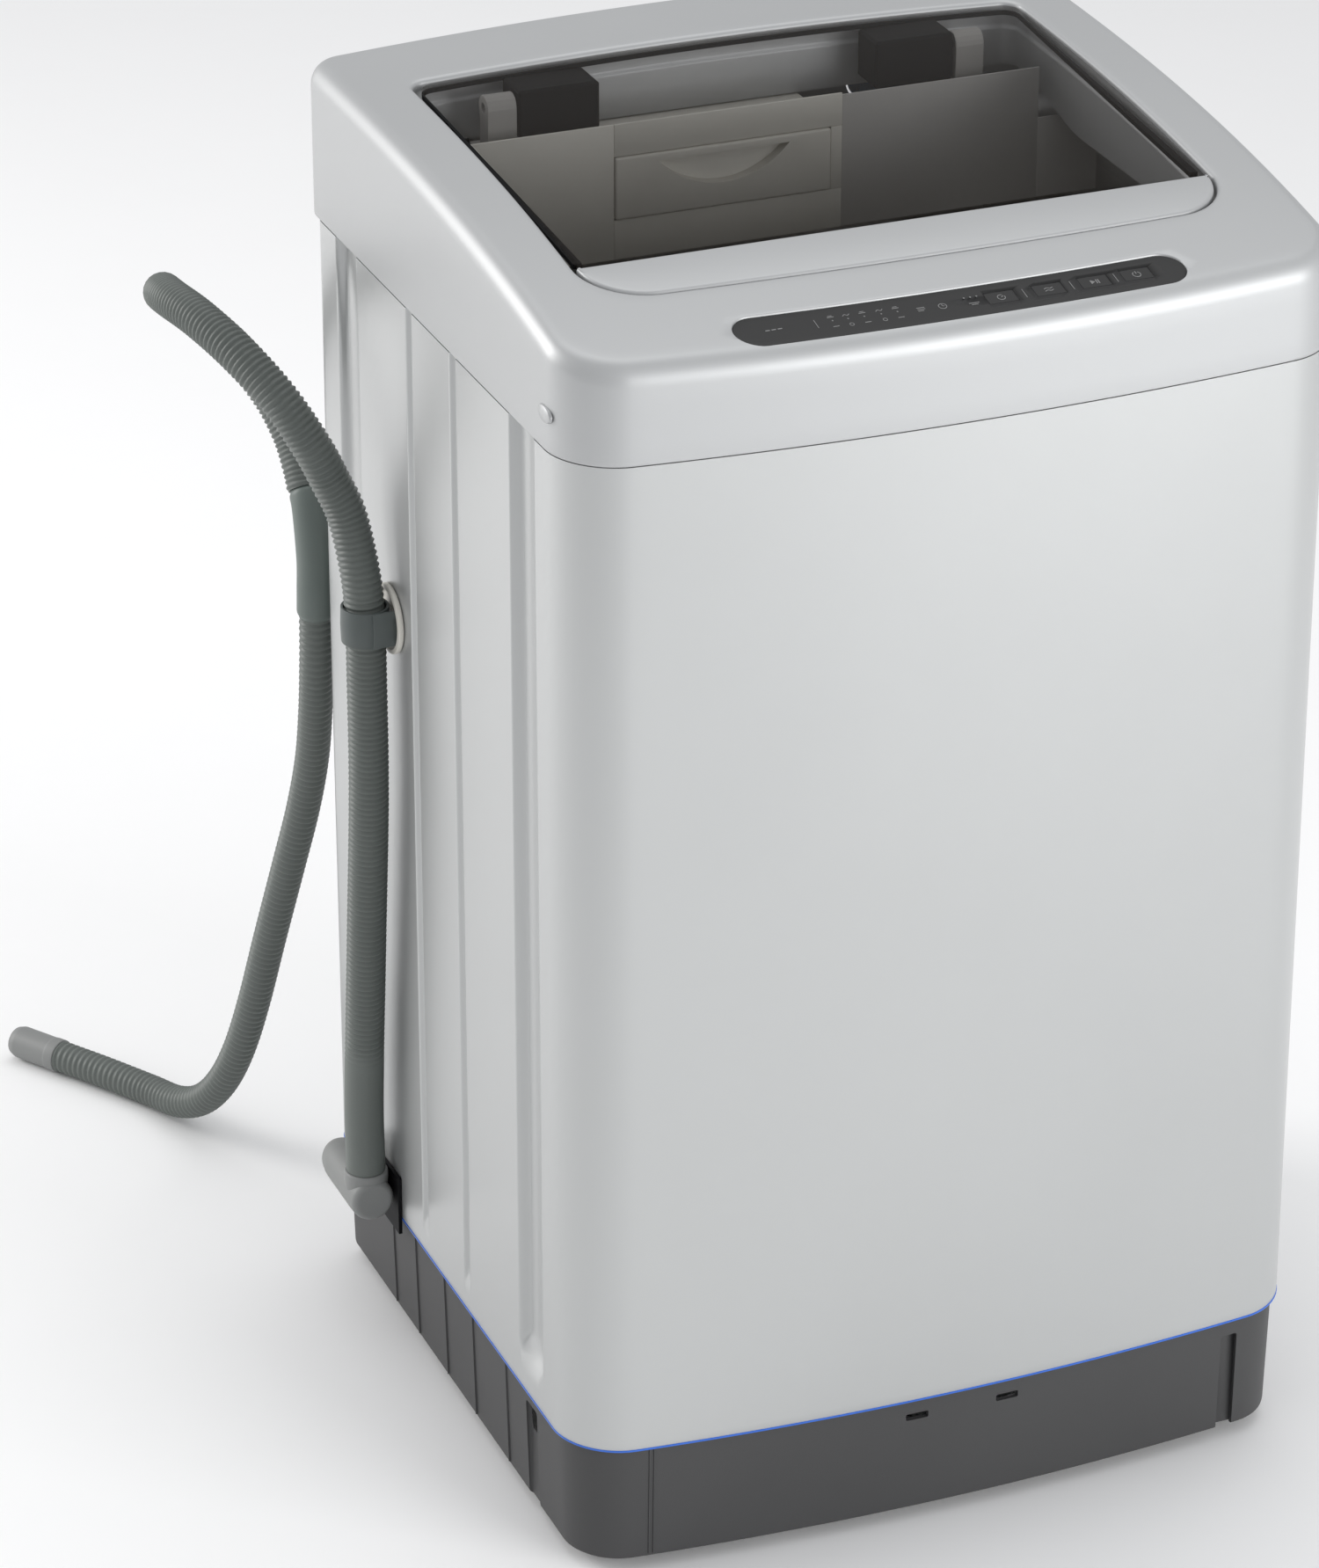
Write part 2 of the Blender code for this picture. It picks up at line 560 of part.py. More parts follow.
def deck_fittings():
    """Valve, sensor, switch, control box and cord gland under the deck."""
    valve = lathe("inlet_valve", [(0, 0), (0.012, 0), (0.0125, 0.004), (0.0125, 0.026), (0.017, 0.026), (0.017, 0.031),
                                  (0.013, 0.033), (0.013, 0.058), (0.011, 0.062), (0, 0.062)], "blue_plastic", 20,
                  (0.140, 0.2380, 0.822), "Y")
    valve.rotation_euler = (math.radians(90), 0, 0)
    pipe = smooth_path([(0.140, 0.1748, 0.822), (0.1395, 0.163, 0.822), (0.120, 0.1495, 0.819), (0.095, 0.150, 0.817),
                        (0.0700, 0.155, 0.816), (0.0602, 0.155, 0.816)], 0.014)
    tube("inlet_pipe", pipe, 0.0065, "grey_plastic", 2)
    lathe("pressure_sensor", [(0, 0), (0.020, 0), (0.022, 0.004), (0.022, 0.014), (0.014, 0.018), (0.004, 0.018),
                              (0.004, 0.028), (0, 0.028)], "black_plastic", 16, (-0.165, 0.195, 0.812))
    boxes("lid_switch", [((0.180, 0.172, 0.838), (0.200, 0.215, 0.862))], "grey_plastic", 0.002)
    boxes("control_box", [((-0.150, -0.238, 0.806), (0.150, -0.190, 0.830))], "grey_plastic", 0.002)
    gland = lathe("cord_gland", [(0.0036, 0), (0.0070, 0), (0.0080, 0.0005), (0.0080, 0.010), (0.0105, 0.010),
                                 (0.0105, 0.013), (0.0060, 0.020), (0.0036, 0.020)], "black_plastic", 14,
                  (-0.205, 0.2382, 0.815))
    gland.rotation_euler = (math.radians(90), 0, 0)


# ---------------------------------------------------------------- suspended tub
def corner_turn(sx, sy):
    return Matrix.Translation((0, TUB_Y, 0)) @ Matrix.Rotation(math.atan2(sy * ROD_Y, sx * ROD_X), 4, "Z")


def tub():
    ob = lathe("outer_tub", [(0.020, 0.200), (0.203, 0.200), (0.216, 0.208), (0.219, 0.225), (0.219, 0.728),
                             (0.2245, 0.730), (0.2245, 0.7392), (0.2155, 0.7392), (0.2155, 0.226), (0.213, 0.211),
                             (0.202, 0.2035), (0.020, 0.2035)], "tub_plastic", 30, (0, TUB_Y, 0))
    lugs, holes = bmesh.new(), bmesh.new()
    for sx in (-1, 1):
        for sy in (-1, 1):
            add_box(lugs, (0.2165, -0.016, 0.262), (0.288, 0.016, 0.276), corner_turn(sx, sy))
            add_cylinder(holes, (sx * ROD_X, TUB_Y + sy * ROD_Y, 0.25), (sx * ROD_X, TUB_Y + sy * ROD_Y, 0.29),
                         0.006, 10)
    fuse(ob, add("tub_lugs", lugs, None))
    cut(ob, add("lug_holes", holes, None))
    lathe("tub_cover", [(0.166, 0.7425), (0.166, 0.7560), (0.170, 0.7560), (0.172, 0.7470), (0.2245, 0.7440),
                        (0.2245, 0.7395), (0.180, 0.7395)], "tub_plastic", 30, (0, TUB_Y, 0))


def basket():
    lathe("wash_basket", [(0.0145, 0.222), (0.184, 0.222), (0.1975, 0.231), (0.200, 0.245), (0.200, 0.6995),
                          (0.1985, 0.6995), (0.1985, 0.2455), (0.196, 0.232), (0.183, 0.2238), (0.0145, 0.2238)],
          "stainless", 30, (0, TUB_Y, 0))
    lathe("balance_ring", [(0.179, 0.7000), (0.202, 0.7000), (0.2035, 0.704), (0.2035, 0.726), (0.198, 0.734),
                           (0.184, 0.734), (0.177, 0.725)], "white_plastic", 30, (0, TUB_Y, 0))
    lathe("basket_shaft", [(0.0080, 0.2000), (0.0135, 0.2000), (0.0135, 0.2180), (0.045, 0.2180), (0.045, 0.2216),
                           (0.0080, 0.2216)], "zinc_steel", 20, (0, TUB_Y, 0))
    guide = bmesh.new()
    outline = [(-0.044, 0.180), (-0.0385, 0.180), (-0.0385, 0.1905), (0.0385, 0.1905), (0.0385, 0.180),
               (0.044, 0.180), (0.044, 0.1915), (-0.044, 0.1915)]
    bridge(guide, [[(x, TUB_Y + y, z) for x, y in outline] for z in (0.455, 0.600)], caps=True)
    add("filter_guide", guide, "white_plastic")
    lint = boxes("lint_filter", [((-0.0375, TUB_Y + 0.170, 0.4600), (0.0375, TUB_Y + 0.1895, 0.6050))], "white_plastic", 0.003)
    pivot(lint, (0, TUB_Y + 0.180, 0.460))


def agitator():
    ob = lathe("pulsator", [(0, 0.290), (0.020, 0.288), (0.035, 0.278), (0.060, 0.262), (0.120, 0.252),
                            (0.163, 0.256), (0.167, 0.250), (0.163, 0.243), (0.030, 0.240), (0.030, 0.2295),
                            (0.0085, 0.2295), (0.0085, 0.265), (0, 0.265)], "white_plastic", 24, (0, TUB_Y, 0))
    vanes = bmesh.new()
    for k in range(5):
        turn = Matrix.Translation((0, TUB_Y, 0)) @ Matrix.Rotation(math.radians(72 * k + 18), 4, "Z")
        rows = []
        for z, w in ((0.249, 0.012), (0.266, 0.008), (0.272, 0.004)):
            rows.append([turn @ Vector(p) for p in ((0.028, -w, z + 0.006), (0.150 - (z - 0.249), -w, z),
                                                    (0.150 - (z - 0.249), w, z), (0.028, w, z + 0.006))])
        bridge(vanes, rows, caps=True)
    fuse(ob, add("vanes", vanes, None))
    lathe("pulsator_shaft", [(0, 0.1405), (0.0075, 0.1405), (0.0075, 0.2640), (0, 0.2640)], "zinc_steel", 14,
          (0, TUB_Y, 0))


def drive():
    """Gearbox, pulleys, belt and motor under the tub."""
    lathe("clutch_gearbox", [(0.0092, 0.130), (0.035, 0.130), (0.052, 0.138), (0.052, 0.186), (0.030, 0.1915),
                             (0.026, 0.1995), (0.0092, 0.1995)], "cast_aluminium", 24, (0, TUB_Y, 0))
    lathe("drive_pulley", [(0, 0.101), (0.012, 0.101), (0.012, 0.103), (0.078, 0.103), (0.080, 0.104), (0.080, 0.114),
                           (0.070, 0.114), (0.068, 0.107), (0.018, 0.107), (0.014, 0.126), (0.0075, 0.126),
                           (0.0075, 0.1400), (0, 0.1400)], "cast_aluminium", 24, (0, TUB_Y, 0))
    motor_body()
    lathe("motor_pulley", [(0, 0.101), (0.018, 0.101), (0.022, 0.104), (0.022, 0.114), (0.010, 0.114), (0.0050, 0.116),
                           (0.0050, 0.1400), (0, 0.1400)], "zinc_steel", 20, (MOTOR_X, MOTOR_Y, 0))
    plate = [(-0.090, -0.085), (0.060, -0.165), (0.165, -0.165), (0.172, -0.060), (0.060, 0.075), (-0.085, 0.070)]
    ob = prism("motor_plate", plate, "Z", 0.1935, 0.1960, "zinc_steel")
    cut(ob, cylinders("gearbox_hole", [((0, TUB_Y, 0.18), (0, TUB_Y, 0.21), 0.0535)], None, 24))
    along = Vector((MOTOR_X, MOTOR_Y - TUB_Y))
    heading, reach = math.degrees(math.atan2(along.y, along.x)), along.length
    loops = []
    for extra in (GAP + 0.0002, 0.0052):
        big, small = 0.080 + extra, 0.022 + extra
        lean = math.degrees(math.acos((big - small) / reach))
        loops.append(arc(0, TUB_Y, big, heading + lean, heading + 360 - lean, 18)
                     + arc(MOTOR_X, MOTOR_Y, small, heading - lean, heading + lean, 8))
    inner, outer = loops
    bm = bmesh.new()
    bridge(bm, [at(outer, 0.105), at(outer, 0.113), at(inner, 0.113), at(inner, 0.105)], wrap=True)
    add("drive_belt", bm, "rubber")


def motor_body():
    ob = lathe("motor", [(0, 0.120), (0.020, 0.120), (0.048, 0.126), (0.050, 0.132), (0.050, 0.182), (0.044, 0.190),
                         (0.015, 0.1930), (0, 0.1930)], "motor", 24, (MOTOR_X, MOTOR_Y, 0))
    return cut(ob, cylinders("motor_bore", [((MOTOR_X, MOTOR_Y, 0.10), (MOTOR_X, MOTOR_Y, 0.145), 0.0055)], None, 12))


def suspension():
    names = {(-1, -1): "front_left", (1, -1): "front_right", (-1, 1): "rear_left", (1, 1): "rear_right"}
    for (sx, sy), corner in names.items():
        x, y = sx * ROD_X, TUB_Y + sy * ROD_Y
        lathe("suspension_rod_" + corner, [(0, 0.164), (0.014, 0.164), (0.015, 0.170), (0.003, 0.1705), (0.003, 0.7560),
                                           (0.0045, 0.7574), (0.0080, 0.7600), (0.0080, 0.7690), (0.004, 0.7730),
                                           (0, 0.7730)], "zinc_steel", 10, (x, y, 0))
        turns, per = 5, 6
        coil = []
        for i in range(turns * per + 1):
            a = 2 * math.pi * i / per
            coil.append((x + 0.0105 * math.cos(a), y + 0.0105 * math.sin(a),
                         0.1725 + (0.2595 - 0.1725) * i / (turns * per)))
        tube("suspension_spring_" + corner, coil, 0.0016, "zinc_steel", 0)


def drainage():
    """Valve and bellows under the tub; the outlet elbow beside the left panel."""
    boxes("drain_valve", [((-0.165, 0.100, 0.092), (-0.118, 0.150, 0.148))], "tub_plastic", 0.004)
    rings = [(0, 0.1483)]
    for k in range(4):
        z = 0.1483 + 0.0127 * k
        rings += [(0.0125, z), (0.0125, z + 0.005), (0.0095, z + 0.0075), (0.0095, z + 0.0105)]
    rings += [(0.0125, 0.1990), (0, 0.1990)]
    rings = [rings[0]] + [(r, min(z, 0.1975)) if r else (r, z) for r, z in rings[1:-2]] + rings[-2:]
    lathe("drain_bellows", rings, "rubber", 10, (-0.1415, 0.118, 0))
    elbow = lathe("outlet_elbow", [(0, 0), (0.013, 0), (0.0155, 0.003), (0.0155, 0.068), (0.012, 0.075),
                                   (0.006, 0.079), (0, 0.080)], "hose_end", 16, (HOSE_X, 0.092, 0.113), "Y")
    fuse(elbow, cylinders("elbow_collar", [((HOSE_X, 0.108, 0.113), (HOSE_X, 0.108, 0.1310), 0.0152)], None, 16))
    fuse(elbow, cylinders("elbow_stub", [((HOSE_X, 0.125, 0.113), (-0.1655, 0.125, 0.113), 0.0108)], None, 14))
    bracket = boxes("outlet_bracket", [((-0.2630, 0.088, 0.0860), (-0.2603, 0.156, 0.1300))], "black_plastic")
    room = cylinders("bracket_hole", [((-0.28, 0.125, 0.113), (-0.25, 0.125, 0.113), 0.0112)], None, 16)
    cut(bracket, room)


# ---------------------------------------------------------------- drain hose
CLIP = (HOSE_X, 0.082, 0.556)
UP = [(HOSE_X, 0.108, 0.1318), (HOSE_X, 0.108, 0.190), (HOSE_X, 0.095, 0.315), (HOSE_X, 0.083, 0.432),
      (HOSE_X, 0.0815, 0.520), CLIP, (-0.2803, 0.0850, 0.588), (-0.2845, 0.0965, 0.626), (-0.293, 0.1035, 0.650),
      (-0.304, 0.109, 0.675), (-0.3205, 0.124, 0.705), (-0.338, 0.153, 0.728), (-0.3505, 0.190, 0.739),
      (-0.3555, 0.2315, 0.738), (-0.3495, 0.271, 0.7275), (-0.334, 0.3015, 0.7085), (-0.310, 0.319, 0.6845),
      (-0.284, 0.320, 0.656), (-0.2655, 0.3065, 0.627), (-0.2575, 0.289, 0.604), (-0.2557, 0.274, 0.585),
      (-0.2559, 0.265, 0.573)]
CUFF = [(-0.2559, 0.265, 0.573), (-0.2561, 0.2566, 0.5618), (-0.2573, 0.2455, 0.530), (-0.2590, 0.2410, 0.509),
        (-0.2590, 0.2420, 0.489)]
DOWN = [(-0.2590, 0.2420, 0.489), (-0.2590, 0.2430, 0.469), (-0.2588, 0.2455, 0.448), (-0.2575, 0.254, 0.412),
        (-0.2565, 0.2675, 0.369), (-0.259, 0.283, 0.323), (-0.265, 0.3015, 0.270), (-0.2725, 0.3245, 0.205),
        (-0.2795, 0.3475, 0.140), (-0.286, 0.3665, 0.093), (-0.2935, 0.386, 0.058), (-0.302, 0.409, 0.033),
        (-0.3115, 0.437, 0.0185), (-0.323, 0.470, 0.0132), (-0.346, 0.510, 0.0126), (-0.373, 0.552, 0.0126)]


def drain_line():
    tube("drain_hose", smooth_path(UP[:-1], 0.034) + [UP[-1]], HOSE_R, "hose", 3)
    tube("extension_hose", [DOWN[0]] + smooth_path(DOWN[1:], 0.040), EXT_R, "hose", 3)
    path = [Vector(p) for p in CUFF]
    path[0] += (path[1] - path[0]).normalized() * GAP
    path[-1] += (path[-2] - path[-1]).normalized() * GAP
    tube("hose_cuff", [path[0]] + smooth_path(path[1:-1], 0.012) + [path[-1]], CUFF_R, "hose_cuff", 3)
    tip = Vector(DOWN[-1])
    line = (tip - Vector(DOWN[-2])).normalized()
    line.z = 0
    line.normalize()
    cap = bmesh.new()
    turn = line.to_track_quat("Z", "Y").to_matrix()
    rows = []
    for k, r in ((GAP, 0.0122), (0.030, 0.0122), (0.036, 0.0095), (0.038, 0.006)):
        rows.append([tip + line * k + turn @ Vector((r * math.cos(a), r * math.sin(a), 0))
                     for a in (2 * math.pi * i / 16 for i in range(16))])
    bridge(cap, rows, caps=True)
    add("hose_end_cap", cap, "hose_end")


def hose_clip():
    """Split ring round the hose on a cup-shaped holder fixed to the left panel."""
    lathe("hose_clip", [(0.0148, -0.012), (0.0165, -0.012), (0.0165, 0.012), (0.0148, 0.012)], "hose_cuff", 20, CLIP)
    cup = lathe("clip_holder", [(0, -0.2604), (0.0235, -0.2604), (0.0240, -0.2620), (0.0225, -0.2640),
                                (0.009, -0.2650), (0.009, -0.2690), (0, -0.2690)], "white_plastic", 20,
                (0, CLIP[1], CLIP[2]))
    cup.rotation_euler = (0, math.radians(90), 0)
    saddle = cylinders("holder_saddle", [((CLIP[0], CLIP[1], CLIP[2] - 0.06), (CLIP[0], CLIP[1], CLIP[2] + 0.06),
                                          0.0170)], None, 20)
    return cut(cup, saddle)


def main():
    for ob in list(bpy.data.objects):
        bpy.data.objects.remove(ob)
    cabinet()
    rear_cover()
    base()
    feet()
    top_frame()
    control_panel()
    keys()
    lid()
    dispenser()
    deck_fittings()
    tub()
    basket()
    agitator()
    drive()
    suspension()
    drainage()
    hose_clip()
    drain_line()
    for ob in bpy.data.objects:
        ob.location = ob.location + SHIFT


main()
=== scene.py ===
"""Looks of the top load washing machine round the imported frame. Metres, +Z up, front at -Y."""
import math

import bmesh
import bpy
from mathutils import Matrix, Vector


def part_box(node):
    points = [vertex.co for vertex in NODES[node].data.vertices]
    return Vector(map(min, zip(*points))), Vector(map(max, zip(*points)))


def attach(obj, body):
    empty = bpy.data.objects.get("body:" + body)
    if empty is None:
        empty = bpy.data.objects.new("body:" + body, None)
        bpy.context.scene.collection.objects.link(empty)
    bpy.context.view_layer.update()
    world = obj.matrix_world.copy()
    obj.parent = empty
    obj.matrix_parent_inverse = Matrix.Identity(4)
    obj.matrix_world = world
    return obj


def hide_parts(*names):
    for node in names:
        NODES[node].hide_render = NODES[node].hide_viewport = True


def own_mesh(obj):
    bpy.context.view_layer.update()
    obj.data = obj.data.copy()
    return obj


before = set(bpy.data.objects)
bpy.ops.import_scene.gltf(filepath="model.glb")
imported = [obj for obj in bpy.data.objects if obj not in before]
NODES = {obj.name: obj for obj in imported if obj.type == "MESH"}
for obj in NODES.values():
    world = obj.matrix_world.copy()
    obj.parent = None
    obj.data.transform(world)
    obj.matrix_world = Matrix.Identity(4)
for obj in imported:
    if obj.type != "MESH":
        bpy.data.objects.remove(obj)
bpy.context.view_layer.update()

ROOT = "cabinet_body"

# -------- dimensions, as in the CAD
HALF_W, FRONT_Y, BOW = 0.260, -0.2385, 0.0177
DECK_BACK, CAB_BACK = 0.2385, 0.2275
CAB_LO, CAB_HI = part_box("cabinet")
SHIFT = Vector(((CAB_LO.x + CAB_HI.x) / 2, CAB_HI.y - CAB_BACK,
                0.0))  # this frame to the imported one
FRONT_R, BACK_R = 0.040, 0.022
BASE_TOP, CAB_BOTTOM, CAB_TOP, SEAM = 0.0968, 0.0973, 0.7867, 0.7875
SHEET, DECK_T = 0.0012, 0.003
DECK_Z, DECK_DROP, DECK_RUN = 0.890, 0.040, 0.4835
CROWN_BACK, CROWN_LOSS = 0.009, 0.007
LID_HALF_W, LID_FRONT, LID_BACK = 0.2145, -0.170, 0.161
LID_FRONT_R, LID_BACK_R, LID_BOW = 0.040, 0.012, 0.008
STRIP_Y = -0.131
WINDOW_HALF, WINDOW_BACK, WINDOW_R = 0.2105, 0.154, 0.010
PILL_Y, PILL_BOW, PILL_HALF, PILL_R = -0.2265, 0.0045, 0.149, 0.0151
AT_TUB = (0, -0.008, 0)
INLET, GLAND = (0.140, 0.822), (-0.205, 0.815)
CORNERS = {"front_left": (-0.205, -0.191), "front_right": (0.205, -0.191),
           "rear_left": (-0.205, 0.175), "rear_right": (0.205, 0.175)}
HOSE_R, EXT_R, HOSE_X = 0.0135, 0.012, -0.279


# -------- mesh helpers
def make(name, bm, look, body=ROOT, replaces=(), angle=35, at=(0, 0, 0)):
    """Object from a bmesh. Its look is a key of M."""
    bmesh.ops.recalc_face_normals(bm, faces=bm.faces[:])
    mesh = bpy.data.meshes.new(name)
    bm.to_mesh(mesh)
    bm.free()
    ob = bpy.data.objects.new(name, mesh)
    bpy.context.collection.objects.link(ob)
    if look:
        mesh.materials.append(M[look])
    smooth(ob, angle)
    ob.location = Vector(at) + SHIFT
    if body:
        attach(ob, body)
    if replaces:
        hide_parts(*replaces)
    return ob


def smooth(ob, angle):
    ob.data.shade_smooth()
    ob.data.set_sharp_from_angle(angle=math.radians(angle))


def carve(ob, cutter, angle=None):
    """Cut a bmesh away from the object. With an angle, the result is smoothed again."""
    tool = make("cutter", cutter, None, body=None)
    mod = ob.modifiers.new("carve", "BOOLEAN")
    mod.operation, mod.object = "DIFFERENCE", tool
    bpy.context.view_layer.update()
    graph = bpy.context.evaluated_depsgraph_get()
    done = bpy.data.meshes.new_from_object(ob.evaluated_get(graph))
    ob.modifiers.clear()
    ob.data = done
    bpy.data.objects.remove(tool)
    if angle:
        smooth(ob, angle)


def skin(bm, loops, wrap=False, caps=False, closed=True):
    """Quads between equally long rows of points; each row is a loop unless closed is False."""
    rows = [[bm.verts.new(p) for p in loop] for loop in loops]
    pairs = list(zip(rows, rows[1:]))
    if wrap:
        pairs.append((rows[-1], rows[0]))
    for low, high in pairs:
        n = len(low)
        for i in range(n if closed else n - 1):
            bm.faces.new((low[i], low[(i + 1) % n], high[(i + 1) % n], high[i]))
    if caps:
        bm.faces.new(rows[0][::-1])
        bm.faces.new(rows[-1])
    return rows


def circle(radius, sides):
    return [(radius * math.cos(a), radius * math.sin(a))
            for a in (2 * math.pi * i / sides for i in range(sides))]


def turned(bm, profile, sides=64, place=None):
    """Lathe a profile of (radius, height); it closes to poles at radius 0, or to a ring."""
    place = place or Matrix.Identity(4)
    solid = profile[0][0] == 0 and profile[-1][0] == 0
    body = profile[1:-1] if solid else profile
    loops = [[place @ Vector((x, y, z)) for x, y in circle(r, sides)] for r, z in body]
    rows = skin(bm, loops, wrap=not solid)
    if solid:
        for row, (_, z) in ((rows[0], profile[0]), (rows[-1], profile[-1])):
            pole = bm.verts.new(place @ Vector((0, 0, z)))
            for i in range(sides):
                bm.faces.new((pole, row[i], row[(i + 1) % sides]))


def soft(profile, radius=0.0012, steps=4, closed=False):
    """Round a profile's corners."""
    out = []
    n = len(profile)
    for i, p in enumerate(profile):
        if not closed and i in (0, n - 1):
            out.append(p)
            continue
        a, b, c = Vector(profile[i - 1]), Vector(p), Vector(profile[(i + 1) % n])
        u, v = a - b, c - b
        reach = min(radius, u.length * 0.45, v.length * 0.45)
        if u.length < 1e-7 or v.length < 1e-7:
            continue
        start, end = b + u.normalized() * reach, b + v.normalized() * reach
        for k in range(steps + 1):
            t = k / steps
            q = start.lerp(b, t).lerp(b.lerp(end, t), t)
            out.append((q.x, q.y))
    return out


def add_box(bm, lo, hi, bevel=0.0, segments=2, turn=None):
    made = bmesh.ops.create_cube(bm, size=1.0)["verts"]
    lo, hi = Vector(lo), Vector(hi)
    for v in made:
        v.co = Vector([(lo[i] + hi[i]) / 2 + v.co[i] * (hi[i] - lo[i]) for i in range(3)])
    if bevel:
        edges = list({e for v in made for e in v.link_edges})
        faces = bmesh.ops.bevel(bm, geom=edges, offset=bevel, segments=segments, profile=0.5,
                                affect="EDGES")["faces"]
        made = list({v for f in faces for v in f.verts})
    if turn:
        bmesh.ops.transform(bm, matrix=turn, verts=made)


def arc(cx, cy, radius, start, end, count):
    return [(cx + radius * math.cos(a), cy + radius * math.sin(a)) for a in
            (math.radians(start + (end - start) * i / count) for i in range(count + 1))]


def smooth_path(route, spacing):
    """Evenly spaced points on the Catmull-Rom curve through the route's points."""
    steps = 24
    pts = [Vector(p) for p in route]
    pts = [2 * pts[0] - pts[1]] + pts + [2 * pts[-1] - pts[-2]]
    fine = []
    for p0, p1, p2, p3 in zip(pts, pts[1:], pts[2:], pts[3:]):
        for k in range(steps):
            t = k / steps
            fine.append(0.5 * (2 * p1 + (p2 - p0) * t + (2 * p0 - 5 * p1 + 4 * p2 - p3) * t * t
                               + (3 * p1 - p0 - 3 * p2 + p3) * t ** 3))
    fine.append(pts[-2])
    total = sum((b - a).length for a, b in zip(fine, fine[1:]))
    count = max(2, round(total / spacing))
    out, run, k = [fine[0]], 0.0, 1
    for a, b in zip(fine, fine[1:]):
        step = (b - a).length
        while k < count and run + step >= total * k / count:
            out.append(a.lerp(b, (total * k / count - run) / step))
            k += 1
        run += step
    return out + [fine[-1]]


def clamp01(t):
    return min(1.0, max(0.0, t))


def ease(t):
    t = clamp01(t)
    return t * t * (3 - 2 * t)


# -------- materials
def material(name, colour, rough, metal=0.0, coat=0.0, alpha=1.0, spread=0.05, grain=1500,
             bump=0.05, streak=(1, 1, 1), mottle=6.0, specular=0.5, rough_spread=0.05,
             coat_rough=0.12):
    """Colour and roughness that vary softly, under a fine raised grain."""
    mat = bpy.data.materials.new(name)
    mat.use_nodes = True
    tree = mat.node_tree
    link = tree.links.new

    def node(kind, **settings):
        made = tree.nodes.new("ShaderNode" + kind)
        return fill(made, settings)

    def fill(made, settings):
        for key, value in settings.items():
            made.inputs[key.replace("_", " ")].default_value = value
        return made
    shader = fill(tree.nodes["Principled BSDF"], {
        "Metallic": metal, "Coat Weight": coat, "Coat Roughness": coat_rough,
        "Specular IOR Level": specular, "Alpha": alpha})
    where, scale = node("TexCoord"), node("Mapping", Scale=streak)
    link(where.outputs["Object"], scale.inputs["Vector"])
    broad = node("TexNoise", Scale=mottle, Detail=4)
    fine = node("TexNoise", Scale=grain, Detail=3)
    for noise in (broad, fine):
        link(scale.outputs["Vector"], noise.inputs["Vector"])
    both, part = node("Math"), node("Math")
    both.operation, both.inputs[1].default_value = "MULTIPLY_ADD", 0.35
    part.operation, part.inputs[1].default_value = "MULTIPLY", 0.65
    link(fine.outputs["Fac"], both.inputs[0])
    link(broad.outputs["Fac"], part.inputs[0])
    link(part.outputs[0], both.inputs[2])
    ramp = node("ValToRGB")
    low, high = ramp.color_ramp.elements
    low.position, high.position = 0.3, 0.7
    low.color = (*[c * (1 - spread) for c in colour], 1)
    high.color = (*[min(1.0, c * (1 + spread)) for c in colour], 1)
    link(both.outputs[0], ramp.inputs["Fac"])
    link(ramp.outputs["Color"], shader.inputs["Base Color"])
    shade = node("MapRange", From_Min=0.3, From_Max=0.7, To_Min=rough * (1 - rough_spread),
                 To_Max=min(1.0, rough * (1 + rough_spread)))
    link(broad.outputs["Fac"], shade.inputs["Value"])
    link(shade.outputs["Result"], shader.inputs["Roughness"])
    if bump:
        grainy = node("Bump", Strength=bump, Distance=0.0005)
        link(fine.outputs["Fac"], grainy.inputs["Height"])
        link(grainy.outputs["Normal"], shader.inputs["Normal"])
    return mat


